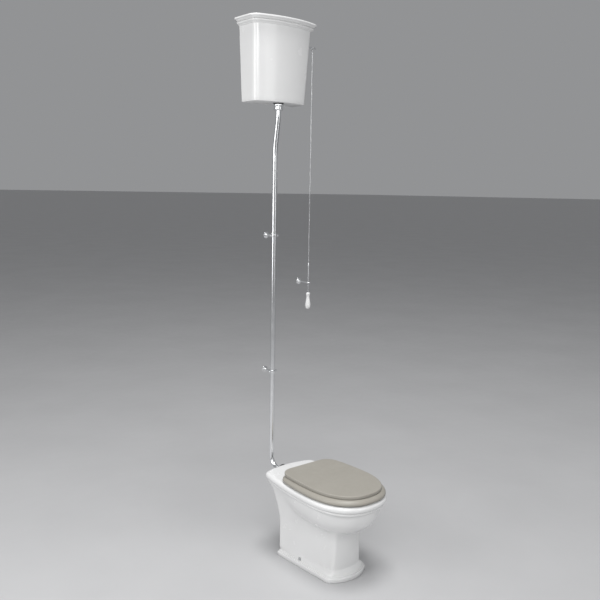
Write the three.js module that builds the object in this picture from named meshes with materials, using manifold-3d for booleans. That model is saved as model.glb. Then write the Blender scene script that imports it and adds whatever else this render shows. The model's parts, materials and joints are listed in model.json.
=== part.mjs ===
// High-level toilet suite: a pedestal pan with seat and lid, a tall flush pipe on two wall
// brackets, and a wall-hung cistern with a pull chain.
// Millimetres, +Z up. The origin is on the floor, midway along the underside of the pan foot's
// back wall. The pan faces -Y and the wall is the plane y = WALL. Distances called forward are
// measured from the wall.
import * as THREE from 'three';
import { mergeVertices } from 'three/addons/utils/BufferGeometryUtils.js';
import Module from 'manifold-3d';

const wasm = await Module();
wasm.setup();

// ---------------------------------------------------------------- driving dimensions
const WALL = 296;                 // wall face to the origin
const GAP = 0.4;                  // clearance between touching pieces

const FOOT = { back: 286, halfBack: 130, halfFront: 118.5, corner: 642, front: 688 };
const STEM = { back: 295, halfBack: 125.5, halfFront: 84, corner: 640, front: 657, narrowing: 11 };
const FLARE = { start: 172, power: 1.55 };        // from the stem out to the deck
const STEM_TOP = 355;             // where the bowl and the deck take over from the stem
const STEM_START = 48;            // where the plinth moulding ends
const RIM = { half: 190, centre: 575, front: 803, back: -5, power: 2.3 };
const DECK = { half: 152, corner: 205, back: 176, top: 400 };
const LEDGE = { back: 11, front: 17 };            // how far the bowl sits in from the rim
const BOWL = { depth: 150, drop: 2.05, backDrop: 3, power: 2, backPower: 3.2, back: 260, inset: 17,
  crease: 14 };
const WALL_THICKNESS = 12;

const FOOT_SCREW = { forward: 440, z: 34, seat: 112 };
const OUTLET = { z: 190, forward: 232, radius: 51 };
const INLET = { z: 358, forward: 160, radius: 27, bore: 19 };

const HINGE = { forward: 338, z: 417, x: 77.5, pin: 3 };
const NOTCH = { inner: 61, outer: 94, depth: 30 };    // round each hinge post, in x
const LUG = { inner: 86.5, outer: 92.5, radius: 8 };  // the lid's hinge lugs, in x
const RING = { half: 185.5, front: 799, back: 328, bottom: 405, top: 428, centre: 563, power: 2.35,
  backPower: 2.15, reach: 404, shoulder: 61 };
const RING_HOLE = { half: 116, front: 728, back: 428 };
const LID = { half: 167.5, front: 782, back: 330, bottom: 429.5, top: 444.4, centre: 548, power: 2.4,
  backPower: 2.28, reach: 392, shoulder: 59 };

const PIPE = { radius: 13, bore: 11, forward: 65, topForward: 88 };
const BRACKET_HEIGHTS = { lower: 852, upper: 1534 };

const CISTERN = { bottom: 2165, cornice: 2507, top: 2522.6, thickness: 9, corner: 22 };
const CISTERN_BOTTOM = { half: 152, side: 105, front: 140 };
const CISTERN_TOP = { half: 168, side: 125, front: 160 };
const CISTERN_LID = { bottom: 2523, top: 2542, overhang: 28, corner: 34 };

const LEVER = { pivotX: 110, forward: 78, z: 2447, inner: -52, chain: 214.5, tip: 236 };
const CHAIN = { top: 2428, bottom: 1396, radius: 2 };
const ROD = { bottom: 1242, radius: 3 };
const HANDLE = { top: 1240, bottom: 1154 };
const GUIDE_Z = 1290;

const GLAZE = { color: 0xe9e9e7, roughness: 0.12, metalness: 0 };
const SEAT_PAINT = { color: 0xa8a399, roughness: 0.5, metalness: 0 };
const CHROME = { color: 0xd8dadc, roughness: 0.12, metalness: 1 };
const BRASS = { color: 0xb08d4a, roughness: 0.35, metalness: 1 };
const RUBBER = { color: 0x2a2a2a, roughness: 0.8, metalness: 0 };
const WHITE_PLASTIC = { color: 0xe2e2de, roughness: 0.45, metalness: 0 };
const STEEL = { color: 0x9a9ca0, roughness: 0.4, metalness: 1 };

// ---------------------------------------------------------------- small helpers
const y = (forward) => WALL - forward;
const clamp01 = (value) => Math.min(1, Math.max(0, value));
const smoothstep = (value) => clamp01(value) ** 2 * (3 - 2 * clamp01(value));
const mix = (a, b, t) => a * (1 - t) + b * t;

const suite = new THREE.Group();

/** Adds a named mesh at a place, with an optional turn, to the suite. */
function add(name, geometry, finish, position = [0, 0, 0], rotation = [0, 0, 0]) {
  const mesh = new THREE.Mesh(geometry, new THREE.MeshStandardMaterial(finish));
  mesh.name = name;
  mesh.position.set(...position);
  mesh.rotation.set(...rotation);
  suite.add(mesh);
  return mesh;
}

/** A geometry as a manifold solid. */
function solid(geometry) {
  const bare = geometry.clone();
  for (const attribute of ['normal', 'uv']) bare.deleteAttribute(attribute);
  const merged = mergeVertices(bare, 1e-4);
  return new wasm.Manifold(new wasm.Mesh({
    numProp: 3,
    vertProperties: new Float32Array(merged.attributes.position.array),
    triVerts: new Uint32Array(merged.index.array),
  }));
}

/** A manifold solid as a geometry. */
function geometryOf(manifold) {
  const mesh = manifold.getMesh();
  const geometry = new THREE.BufferGeometry();
  geometry.setAttribute('position', new THREE.BufferAttribute(mesh.vertProperties, 3));
  geometry.setIndex(new THREE.BufferAttribute(mesh.triVerts, 1));
  return geometry;
}

/** base with every solid in cuts removed, after every solid in joins is joined on. */
function carve(base, cuts, joins = []) {
  let result = solid(base);
  for (const piece of joins) result = result.add(solid(piece));
  for (const piece of cuts) result = result.subtract(solid(piece));
  return geometryOf(result);
}

const ordered = (a, b) => [Math.min(a, b), Math.max(a, b)];

const block = (width, depth, height, x = 0, yy = 0, z = 0) =>
  new THREE.BoxGeometry(width, depth, height).translate(x, yy, z);

/** A cylinder along Z from z0 to z1. */
function post(radius, z0, z1, sides = 16, x = 0, yy = 0) {
  const cylinder = new THREE.CylinderGeometry(radius, radius, z1 - z0, sides);
  return cylinder.rotateX(Math.PI / 2).translate(x, yy, (z0 + z1) / 2);
}

/** A cylinder along X from x0 to x1. */
function crossbar(radius, x0, x1, sides = 16, yy = 0, z = 0) {
  const cylinder = new THREE.CylinderGeometry(radius, radius, x1 - x0, sides);
  return cylinder.rotateZ(Math.PI / 2).translate((x0 + x1) / 2, yy, z);
}

/** A cylinder along Y from y0 to y1. */
function spigot(radius, y0, y1, sides = 16, x = 0, z = 0) {
  const cylinder = new THREE.CylinderGeometry(radius, radius, y1 - y0, sides);
  return cylinder.translate(x, (y0 + y1) / 2, z);
}

/** A turned piece about Z from [radius, height] points that start and end on the axis. */
function turned(points, sides = 20) {
  const profile = points.map(([radius, height]) => new THREE.Vector2(radius, height));
  return new THREE.LatheGeometry(profile, sides).rotateX(Math.PI / 2);
}

/** A ring-shaped turned piece about Z, from points round its closed section. */
const turnedRing = (points, sides = 20) => turned([...points, points[0]], sides);

/** Lofts closed outlines of equal length, lowest first, with flat ends. */
function loft(outlines) {
  const count = outlines[0].length;
  const last = outlines.length - 1;
  const points = outlines.flat();
  const faces = [];
  for (let level = 0; level < last; level += 1) {
    for (let i = 0; i < count; i += 1) {
      const a = level * count + i;
      const b = level * count + ((i + 1) % count);
      faces.push(a, b, b + count, a, b + count, a + count);
    }
  }
  for (const [level, up] of [[0, false], [last, true]]) {
    const middle = new THREE.Vector3();
    for (const point of outlines[level]) middle.addScaledVector(point, 1 / count);
    points.push(middle);
    for (let i = 0; i < count; i += 1) {
      const a = level * count + i;
      const b = level * count + ((i + 1) % count);
      faces.push(...(up ? [a, b, points.length - 1] : [b, a, points.length - 1]));
    }
  }
  const geometry = new THREE.BufferGeometry().setFromPoints(points);
  geometry.setIndex(faces);
  return geometry;
}

/** A path through stations, with a point of the sweep at each station and nowhere else. */
class Route extends THREE.Curve {
  constructor(stations) {
    super();
    this.stations = stations;
  }

  getPoint(t, target = new THREE.Vector3()) {
    const at = t * (this.stations.length - 1);
    const i = Math.min(Math.floor(at), this.stations.length - 2);
    return target.lerpVectors(this.stations[i], this.stations[i + 1], at - i);
  }

  getPointAt(u, target) {
    return this.getPoint(u, target);
  }

  getTangentAt(u, target = new THREE.Vector3()) {
    const last = this.stations.length - 1;
    const i = Math.round(u * last);
    const before = this.stations[Math.max(i - 1, 0)];
    const after = this.stations[Math.min(i + 1, last)];
    const inward = this.stations[i].clone().sub(before).normalize();
    const outward = after.clone().sub(this.stations[i]).normalize();
    return target.copy(inward.add(outward)).normalize();
  }
}

/** A round bar, or a tube where bore is given, swept along stations. */
function swept(stations, radius, sides, bore = 0) {
  const circle = (r) => Array.from({ length: sides }, (_, i) => {
    const turn = (2 * Math.PI * i) / sides;
    return new THREE.Vector2(r * Math.cos(turn), r * Math.sin(turn));
  });
  const section = new THREE.Shape(circle(radius));
  if (bore) section.holes.push(new THREE.Path(circle(bore)));
  const steps = stations.length - 1;
  return new THREE.ExtrudeGeometry(section, { steps, extrudePath: new Route(stations) });
}

/** Points of a bend in a plane x = constant, from one angle to another about a centre. */
function bend(x, centreForward, centreZ, radius, from, to, count) {
  return Array.from({ length: count + 1 }, (_, i) => {
    const angle = THREE.MathUtils.degToRad(mix(from, to, i / count));
    const forward = centreForward + radius * Math.cos(angle);
    return new THREE.Vector3(x, y(forward), centreZ + radius * Math.sin(angle));
  });
}

// ---------------------------------------------------------------- plan outlines
// Each takes x and a distance forward of the wall, and gives how far outside it a point is.

/** The larger of two distances, rounded where they cross. */
function rounded(a, b, radius) {
  const h = clamp01(0.5 - (0.5 * (b - a)) / radius);
  return mix(b, a, h) + radius * h * (1 - h);
}

const joined = (a, b, radius) => -rounded(-a, -b, radius);

/** Outside a straight side that runs from one half-width to another. */
function side(x, forward, shape) {
  const length = Math.hypot(shape.halfBack - shape.halfFront, shape.corner - shape.back);
  const across = (shape.corner - shape.back) / length;
  const along = (shape.halfBack - shape.halfFront) / length;
  return (Math.abs(x) - shape.halfBack) * across + (forward - shape.back) * along;
}

/** Outside an arc that bows out to middle between two corners. */
function bow(x, forward, half, corner, middle) {
  const rise = Math.abs(middle - corner);
  const radius = (half * half + rise * rise) / (2 * rise);
  const way = Math.sign(middle - corner);
  const centre = middle - way * radius;
  return Math.hypot(x, Math.max(way * (forward - centre), 0)) - radius;
}

/** Outside an egg about (0, centre), its ends square-shouldered by their powers. */
function egg(x, forward, half, centre, front, back, power = 2, backPower = 2) {
  const ahead = forward > centre;
  const n = ahead ? power : backPower;
  const reach = ahead ? front - centre : centre - back;
  const across = Math.abs(x) / half;
  const along = Math.abs(forward - centre) / reach;
  const level = (across ** n + along ** n) ** (1 / n);
  const slope = Math.hypot(across ** (n - 1) / half, along ** (n - 1) / reach);
  return (level - 1) / Math.max(slope * Math.max(level, 1e-9) ** (1 - n), 1e-9);
}

function footOutline(x, forward) {
  const straight = rounded(side(x, forward, FOOT), FOOT.back - forward, 8);
  return rounded(straight, bow(x, forward, FOOT.halfFront, FOOT.corner, FOOT.front), 12);
}

function stemOutline(x, forward, z) {
  const narrowing = STEM.narrowing * clamp01((z - 50) / 170);
  const shape = { ...STEM, halfFront: STEM.halfFront - narrowing };
  const straight = rounded(side(x, forward, shape), STEM.back - forward, 10);
  return rounded(straight, bow(x, forward, STEM.halfFront, STEM.corner, STEM.front), 10);
}

function rimOutline(x, forward) {
  const body = egg(x, forward, RIM.half, RIM.centre, RIM.front, RIM.back, RIM.power);
  return rounded(body, bow(x, forward, DECK.half, DECK.corner, DECK.back), 16);
}

const ledge = (forward) => mix(LEDGE.back, LEDGE.front, smoothstep((forward - 250) / 300));

/** The outside of the stem, the flare under the deck and the bowl, at one height. */
function panOutline(x, forward, z) {
  const stem = stemOutline(x, forward, z);
  const flare = clamp01((z - FLARE.start) / (STEM_TOP - FLARE.start)) ** FLARE.power;
  const back = mix(stem, rimOutline(x, forward) + ledge(forward), flare);
  const depth = clamp01((STEM_TOP - z) / BOWL.depth);
  const shrink = (power) => clamp01(1 - depth ** power) ** (1 / power);
  const scale = shrink(BOWL.drop);
  if (scale < 0.02) return back;
  const { centre } = RIM;
  const bowl = egg(x, forward, (RIM.half - BOWL.inset) * scale, centre,
    centre + (RIM.front - BOWL.inset - centre) * scale, centre - BOWL.back * shrink(BOWL.backDrop),
    BOWL.power, BOWL.backPower);
  return joined(back, bowl, Math.max(BOWL.crease * clamp01((STEM_TOP - z) / 40), 0.01));
}

/** The outline where a distance reaches a level, as points round a centre at one height. */
function outline(distance, level, z, centre, angles, reach = 420) {
  return angles.map((angle) => {
    const direction = [Math.cos(angle), Math.sin(angle)];
    const outside = (r) =>
      distance(centre[0] + r * direction[0], centre[1] + r * direction[1]) > level;
    let high = reach;
    while (high > 4 && outside(high - 4)) high -= 4;
    let low = high - 4;
    for (let i = 0; i < 24; i += 1) {
      const middle = (low + high) / 2;
      if (outside(middle)) high = middle;
      else low = middle;
    }
    return new THREE.Vector3(centre[0] + low * direction[0], y(centre[1] + low * direction[1]), z);
  });
}

/** Angles clockwise in x and forward, so outlines turn the right way, with extras at corners. */
function angles(count, centre, corners = [], spread = 1.3) {
  const list = Array.from({ length: count }, (_, i) => (2 * Math.PI * i) / count);
  for (const [x, forward] of corners) {
    for (const sign of [1, -1]) {
      const turn = Math.atan2(forward - centre[1], sign * x - centre[0]);
      for (const step of [-spread, spread]) {
        list.push(turn + THREE.MathUtils.degToRad(step));
      }
    }
  }
  const full = 2 * Math.PI;
  const sorted = list.map((a) => ((a % full) + full) % full).sort((a, b) => b - a);
  return sorted.filter((a, i) => i === 0 || sorted[i - 1] - a > 0.012);
}

// ---------------------------------------------------------------- pan
const PAN_CENTRE = [0, 470];

function panBody() {
  const corners = [
    [FOOT.halfBack, FOOT.back], [FOOT.halfFront, FOOT.corner],
    [STEM.halfFront - 4, STEM.corner], [DECK.half, DECK.corner],
  ];
  const round = angles(28, PAN_CENTRE, corners);
  const ring = (z, distance, level) => outline(distance, level, z, PAN_CENTRE, round);
  // share of the way from the foot's outline to the stem's, up the plinth's cove
  const plinth = [[0, 0], [18, 0], [22, 0.4], [34, 0.75], [STEM_START, 1]];
  const lower = plinth.map(([z, share]) => ring(z, (x, f) =>
    mix(footOutline(x, f), stemOutline(x, f, STEM_START), share), 0));
  const heights = [110, 175, 208, 226, 248, 276, 310, 340];
  const middle = heights.map((z) => ring(z, (x, f) => panOutline(x, f, z), 0));
  // the rim's moulding: height and how far in from the rim's outline it lies
  const moulding = [[357, 10.8], [367, 8.5], [370, 5], [378, 0], [391, 0.6]];
  const upper = [
    ring(STEM_TOP, (x, f) => rimOutline(x, f) + ledge(f), 0),
    ...moulding.map(([z, inset]) => ring(z, rimOutline, -inset)),
    ring(DECK.top, rimOutline, -9),
  ];
  return loft([...lower, ...middle, ...upper]);
}

/** The bowl's inside, from its sump up to the rim: half-width, front and back at each height. */
function bowlHollow() {
  const levels = [
    [128, 34, 545, 468], [142, 46, 562, 456], [172, 58, 594, 446], [212, 79, 638, 430],
    [232, 93, 674, 422], [252, 113, 707, 414], [300, 149, 754, 400], [344, 158, 763, 393],
    [354, 139, 745, 399], [DECK.top + 1, 139, 745, 399],
  ];
  const centre = [0, 500];
  const round = angles(26, centre);
  return loft(levels.map(([z, half, front, back]) => outline((x, f) =>
    egg(x, f, half, (front + back) / 2 + 10, front, back, 2.1), 0, z, centre, round)));
}

/** The hollow under the pan: the whole foot, and a chamber behind the bowl. */
function underHollow() {
  const round = angles(14, PAN_CENTRE, [
    [STEM.halfBack - 12, STEM.back + 12], [STEM.halfFront - 12, STEM.corner - 12]]);
  const inset = (z, f0) => outline((x, f) => Math.max(stemOutline(x, f, z), f0 - f),
    -WALL_THICKNESS - 1, z, PAN_CENTRE, round);
  return loft([inset(-1, 0), inset(105, 0)]);
}

/** The chamber behind the bowl, one wall in from the outside and closed by the deck. */
function rearChamber() {
  const centre = [0, 345];
  const round = angles(20, centre, [[108, 308]]);
  const fronts = [[90, 432], [170, 418], [250, 392], [STEM_TOP - 55, 380], [342, 374],
    [DECK.top - 16, 372]];
  return loft(fronts.map(([z, front]) => {
    const outside = z < STEM_TOP ? panOutline : rimOutline;
    return outline((x, f) => rounded(outside(x, f, z) + WALL_THICKNESS + 1, f - front, 6), 0, z,
      centre, round);
  }));
}

function trapRoute(extra) {
  const points = [[520, 168], [478, 168], [446, 182], [416, 212], [388, 228], [358, 226],
    [334, 208], [312, OUTLET.z], [OUTLET.forward - extra, OUTLET.z]];
  return points.map(([forward, z]) => new THREE.Vector3(0, y(forward), z));
}

function pan() {
  const boss = spigot(INLET.radius, y(215), y(INLET.forward), 16, 0, INLET.z);
  const channel = spigot(INLET.bore + 6, y(385), y(205), 16, 0, INLET.z);
  const inletBore = spigot(INLET.bore, y(420), y(INLET.forward - 5), 16, 0, INLET.z);
  const outletWall = swept(trapRoute(0), OUTLET.radius, 16);
  const waterway = swept(trapRoute(4), OUTLET.radius - 11, 16);
  const seatHoles = [-1, 1].map((sign) =>
    post(7.5, DECK.top - 32, DECK.top + 1, 12, sign * HINGE.x, y(HINGE.forward)));
  const across = (radius, from) => [-1, 1].map((sign) =>
    crossbar(radius, ...ordered(sign * from, sign * 150), 12, y(FOOT_SCREW.forward), FOOT_SCREW.z));
  let body = solid(panBody()).subtract(solid(underHollow())).subtract(solid(rearChamber()));
  for (const wall of [outletWall, boss, channel]) body = body.add(solid(wall));
  const cuts = [waterway, bowlHollow(), inletBore, ...seatHoles,
    ...across(4.5, 60), ...across(9.5, FOOT_SCREW.seat)];
  for (const cut of cuts) body = body.subtract(solid(cut));
  return geometryOf(body);
}

add('pan', pan(), GLAZE);

// ---------------------------------------------------------------- floor fixings
function floorBracket() {
  const base = block(34, 44, 4, 0, 0, 2);
  const upright = block(5, 44, 50, 14.5, 0, 25);
  const holes = [post(3.6, -1, 6, 12, -4, 0), crossbar(3.2, 10, 20, 12, 0, FOOT_SCREW.z)];
  return carve(base, holes, [upright]);
}

for (const [word, sign] of [['left', -1], ['right', 1]]) {
  const turn = sign > 0 ? 0 : Math.PI;
  const place = [sign * 72, y(FOOT_SCREW.forward), 0];
  add(`floor_bracket_${word}`, floorBracket(), WHITE_PLASTIC, place, [0, 0, turn]);
  const floorScrew = turned([[0, 0.5], [2.8, 0.5], [2.8, 4.5], [6.5, 4.5], [5, 8], [0, 9]], 12);
  add(`floor_screw_${word}`, floorScrew, STEEL,
    [sign * (72 - 4), y(FOOT_SCREW.forward), 0]);
  // head outside the stem, shank through the wall into the bracket
  const sideScrew = turned([[0, -30], [2.6, -30], [2.6, 0.6], [8, 0.6], [7.4, 3], [4.5, 4.6],
    [0, 5.2]], 12);
  add(`foot_screw_${word}`, sideScrew, STEEL,
    [sign * FOOT_SCREW.seat, y(FOOT_SCREW.forward), FOOT_SCREW.z], [0, sign * Math.PI / 2, 0]);
}

// ---------------------------------------------------------------- seat
/** Outline of the seat ring or the lid: an egg with a straight back and round back corners. */
const seatOutline = (shape) => (x, forward) => rounded(
  egg(x, forward, shape.half, shape.centre, shape.front, shape.centre - shape.reach, shape.power,
    shape.backPower),
  shape.back - forward, shape.shoulder);

const SEAT_CENTRE = [0, 560];
const PIN_HOLE = HINGE.pin + 0.5;

function seatRing() {
  const round = angles(36, SEAT_CENTRE, [[RING.half - 46, RING.back + 8]], 2);
  const shape = seatOutline(RING);
  const section = [[RING.bottom, 3], [RING.bottom + 3, 0], [RING.top - 14, 0.5],
    [RING.top - 7, 5], [RING.top - 2, 13], [RING.top, 20]];
  const body = loft(section.map(([z, inset]) =>
    outline(shape, -inset, z, SEAT_CENTRE, round)));
  const opening = (x, f) =>
    egg(x, f, RING_HOLE.half, 575, RING_HOLE.front, RING_HOLE.back, 2.2);
  const inside = angles(28, SEAT_CENTRE);
  const hole = loft([[RING.bottom - 1, 3], [RING.bottom + 3, 0], [RING.top - 8, 0],
    [RING.top + 1, 7]].map(([z, out]) =>
    outline(opening, out, z, SEAT_CENTRE, inside)));
  const cuts = [hole];
  for (const sign of [-1, 1]) {
    const middle = (sign * (NOTCH.inner + NOTCH.outer)) / 2;
    cuts.push(block(NOTCH.outer - NOTCH.inner, NOTCH.depth * 2, 40,
      middle, y(RING.back), (RING.bottom + RING.top) / 2));
    const ends = ordered(sign * 46, sign * 106);
    cuts.push(crossbar(PIN_HOLE, ...ends, 16, y(HINGE.forward), HINGE.z));
  }
  // the lower back edge is bevelled so that it clears the deck as the ring turns up
  const bevel = block(400, 12, 12).rotateX(Math.PI / 4).translate(0, y(RING.back - 2.5),
    RING.bottom - 2.5);
  cuts.push(bevel);
  return carve(body, cuts);
}

function seatLid() {
  const round = angles(36, SEAT_CENTRE, [[LID.half - 40, LID.back + 6]], 2);
  const shape = seatOutline(LID);
  const section = [[LID.bottom, 1.6], [LID.bottom + 1.6, 0], [LID.top - 3, 0],
    [LID.top - 0.9, 1], [LID.top, 3.4]];
  const body = loft(section.map(([z, inset]) =>
    outline(shape, -inset, z, SEAT_CENTRE, round)));
  const lugs = [];
  const holes = [];
  for (const sign of [-1, 1]) {
    const ends = ordered(sign * LUG.inner, sign * LUG.outer);
    lugs.push(crossbar(LUG.radius, ...ends, 16, y(HINGE.forward), HINGE.z));
    lugs.push(block(LUG.outer - LUG.inner, 12, LID.bottom + 2 - HINGE.z,
      sign * (LUG.inner + LUG.outer) / 2, y(HINGE.forward), (LID.bottom + 2 + HINGE.z) / 2));
    const reach = ordered(sign * (LUG.inner - 2), sign * (LUG.outer + 2));
    holes.push(crossbar(PIN_HOLE, ...reach, 16, y(HINGE.forward), HINGE.z));
  }
  return carve(body, holes, lugs);
}

add('seat_ring', seatRing(), SEAT_PAINT);
add('seat_lid', seatLid(), SEAT_PAINT);

/** A post on the deck with a barrel round the hinge pin. */
function hingePost() {
  const height = HINGE.z - DECK.top;
  const flange = post(13.5, GAP, 3.4, 16);
  const column = block(13, 12, height - 2, 0, 0, height / 2 + 1);
  const barrel = crossbar(7.5, -7, 7, 14, 0, height);
  return carve(flange, [crossbar(PIN_HOLE, -10, 10, 16, 0, height),
    post(4.3, -1, 9, 12)], [column, barrel]);
}

for (const [word, sign] of [['left', -1], ['right', 1]]) {
  const foot = [sign * HINGE.x, y(HINGE.forward), DECK.top];
  add(`hinge_post_${word}`, hingePost(), CHROME, foot);
  const pin = crossbar(HINGE.pin, -28, 26, 12);
  add(`hinge_pin_${word}`, pin, CHROME, [sign * HINGE.x, y(HINGE.forward), HINGE.z],
    [0, 0, sign > 0 ? 0 : Math.PI]);
  const stud = post(3.8, -29, 7.5, 12);
  add(`hinge_stud_${word}`, stud, STEEL, foot);
  const bush = turnedRing([[4.3, -28], [7.1, -28], [7.1, -GAP], [4.3, -GAP]], 16);
  add(`hinge_bush_${word}`, bush, RUBBER, foot);
}

/** A rubber buffer, its top just under the ring or the lid. */
function buffer(height) {
  const half = height / 2;
  return turned([[0, -half], [7, -half], [8, -half + 1], [8, half], [0, half]], 12);
}

const RING_BUFFER = RING.bottom - DECK.top - 2 * GAP;
const ringBuffers = { front_left: [-118, 712], front_right: [118, 712],
  back_left: [-139, 420], back_right: [139, 420] };
for (const [word, [x, forward]] of Object.entries(ringBuffers)) {
  add(`ring_buffer_${word}`, buffer(RING_BUFFER), RUBBER,
    [x, y(forward), (DECK.top + RING.bottom) / 2]);
}

// ---------------------------------------------------------------- flush pipe
const ELBOW = 50;                 // bend radius at the foot of the pipe

function pipeStations() {
  const elbow = bend(0, PIPE.forward + ELBOW, INLET.z + ELBOW, ELBOW, 270, 180, 6);
  const at = (forward, z) => new THREE.Vector3(0, y(forward), z);
  const offset = [[PIPE.forward, 1935], [PIPE.forward + 3, 1968],
    [PIPE.topForward - 3, 2084], [PIPE.topForward, 2116], [PIPE.topForward, 2145],
  ].map(([forward, z]) => at(forward, z));
  return [at(INLET.forward + 22, INLET.z), ...elbow, ...offset];
}

add('flush_pipe', swept(pipeStations(), PIPE.radius, 12, PIPE.bore), CHROME);

/** Rubber cone that seals the pipe's foot into the pan's inlet, turned about Z then laid back. */
function flushCone() {
  const inner = PIPE.radius + GAP;
  const boss = INLET.radius + GAP;
  return turnedRing([[inner, 0], [boss + 4, 12], [boss + 4, 28], [boss, 28], [boss, 17],
    [INLET.bore - GAP, 17], [INLET.bore - GAP, 34], [inner, 34]], 16);
}

add('flush_cone', flushCone(), RUBBER, [0, y(INLET.forward - 17 - GAP), INLET.z],
  [Math.PI / 2, 0, 0]);

// ---------------------------------------------------------------- pipe brackets
/** Turned rose on the wall with its stem, about Z with the wall at z = 0. */
const rose = (reach, stem, radius = 16) => turned([[0, 0], [radius, 0], [radius, 1.6],
  [radius - 3, 4.4], [stem + 1.5, 8], [stem, 11], [stem, reach], [0, reach]], 14);

for (const [word, height] of Object.entries(BRACKET_HEIGHTS)) {
  const inner = PIPE.radius + GAP;
  const outer = inner + 3;
  add(`pipe_rose_${word}`, rose(PIPE.forward - outer - GAP, 4), CHROME, [0, WALL, height],
    [Math.PI / 2, 0, 0]);
  const band = turnedRing([[inner, -6.5], [outer, -6.5], [outer, 6.5], [inner, 6.5]], 16);
  const ears = [-1, 1].map((sign) => block(9, 8, 13, sign * (outer + 3.5), 0, 0));
  const bores = [-1, 1].map((sign) => spigot(2.2, -10, 10, 8, sign * (outer + 4.5), 0));
  const clamp = carve(band, [...bores, post(inner, -8, 8, 16)], ears);
  add(`pipe_clamp_${word}`, clamp, CHROME, [0, y(PIPE.forward), height]);
  for (const [name, sign] of [['left', -1], ['right', 1]]) {
    const screw = turned([[0, -5], [1.8, -5], [1.8, 4.3], [3.6, 4.3], [3.2, 6.2], [0, 6.8]], 8);
    add(`clamp_screw_${word}_${name}`, screw, CHROME,
      [sign * (outer + 4.5), y(PIPE.forward), height], [Math.PI / 2, 0, 0]);
  }
}

// ---------------------------------------------------------------- cistern
const CISTERN_CENTRE = [0, 70];
const TAIL = { forward: PIPE.topForward, radius: 17.5, bore: 14 };
const SLOT = { low: LEVER.z - 28, high: LEVER.z + 11, width: 13 };
const INLET_VALVE = { forward: 40, z: 2468 };
const WALL_SCREWS = { x: 95, z: 2470 };
const WALL_HEIGHT = CISTERN.cornice - CISTERN.bottom;
const LEAN = Math.atan((CISTERN_TOP.half - CISTERN_BOTTOM.half) / WALL_HEIGHT);
const halfAt = (z) => mix(CISTERN_BOTTOM.half, CISTERN_TOP.half,
  (z - CISTERN.bottom) / WALL_HEIGHT);

/** Outline of a D-shaped box: flat back, straight sides, bowed front. */
const cisternOutline = (half, sideDepth, front, shoulder) => (x, forward) => rounded(
  Math.max(Math.abs(x) - half, -forward),
  bow(x, forward, half, sideDepth, front), shoulder);

/** The cistern's outline at one height, with points kept on its corners. */
function cisternRing(z, half, sideDepth, front, inset = 0, backInset = 0,
  corner = CISTERN.corner) {
  const edge = half - inset;
  const rise = front - sideDepth;
  const right = [[edge, backInset], [edge, sideDepth * 0.5], [edge, sideDepth - 0.9 * corner],
    [edge, sideDepth - 0.4 * corner], [edge - 0.25 * corner, sideDepth - 1],
    [edge - 0.6 * corner, sideDepth + 4], [edge - 1.2 * corner, sideDepth + 7],
    [edge * 0.68, sideDepth + rise * 0.54], [edge * 0.45, sideDepth + rise * 0.8],
    [edge * 0.22, sideDepth + rise * 0.95]];
  const aims = [...right, ...right.map(([x, forward]) => [-x, forward]), [0, front]];
  const round = aims.map(([x, forward]) =>
    Math.atan2(forward - CISTERN_CENTRE[1], x)).sort((a, b) => b - a);
  const shape = cisternOutline(half, sideDepth, front, corner);
  return outline((x, f) => Math.max(shape(x, f) + inset, backInset - f), 0, z,
    CISTERN_CENTRE, round);
}

/** Half-width, side depth and front depth of the cistern's body at a height. */
function cisternAt(z) {
  const t = (z - CISTERN.bottom) / WALL_HEIGHT;
  return ['half', 'side', 'front'].map((key) => mix(CISTERN_BOTTOM[key], CISTERN_TOP[key], t));
}

function cisternBody() {
  const growth = (z, extra) => {
    const [half, sideDepth, front] = cisternAt(CISTERN.cornice);
    return cisternRing(z, half + extra, sideDepth + extra * 0.7, front + extra * 0.9);
  };
  const outside = loft([
    cisternRing(CISTERN.bottom, ...cisternAt(CISTERN.bottom)),
    cisternRing(CISTERN.cornice, ...cisternAt(CISTERN.cornice)),
    growth(2511, 6), growth(2513.5, 11), growth(2519.5, 14), growth(CISTERN.top, 12),
  ]);
  const inner = (z) => {
    const [half, sideDepth, front] = cisternAt(Math.min(z, CISTERN.cornice));
    return cisternRing(z, half, sideDepth, front, CISTERN.thickness, CISTERN.thickness);
  };
  const hollow = loft([inner(CISTERN.bottom + 11), inner(CISTERN.cornice),
    inner(CISTERN.top + 1)]);
  const holes = [
    hollow,
    post(TAIL.radius + 1, CISTERN.bottom - 5, CISTERN.bottom + 20, 16, 0, y(TAIL.forward)),
    block(40, SLOT.width, SLOT.high - SLOT.low, halfAt(LEVER.z), y(LEVER.forward),
      (SLOT.low + SLOT.high) / 2),
    crossbar(8.5, 140, 200, 14, y(INLET_VALVE.forward), INLET_VALVE.z),
    ...[-1, 1].map((sign) => spigot(4.5, WALL - 20, WALL + 5, 12, sign * WALL_SCREWS.x,
      WALL_SCREWS.z)),
    ...[-1, 1].map((sign) => crossbar(2.4, 140, 200, 10,
      y(LEVER.forward), (SLOT.low + SLOT.high) / 2 + sign * 27)),
  ];
  return carve(outside, holes);
}

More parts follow.
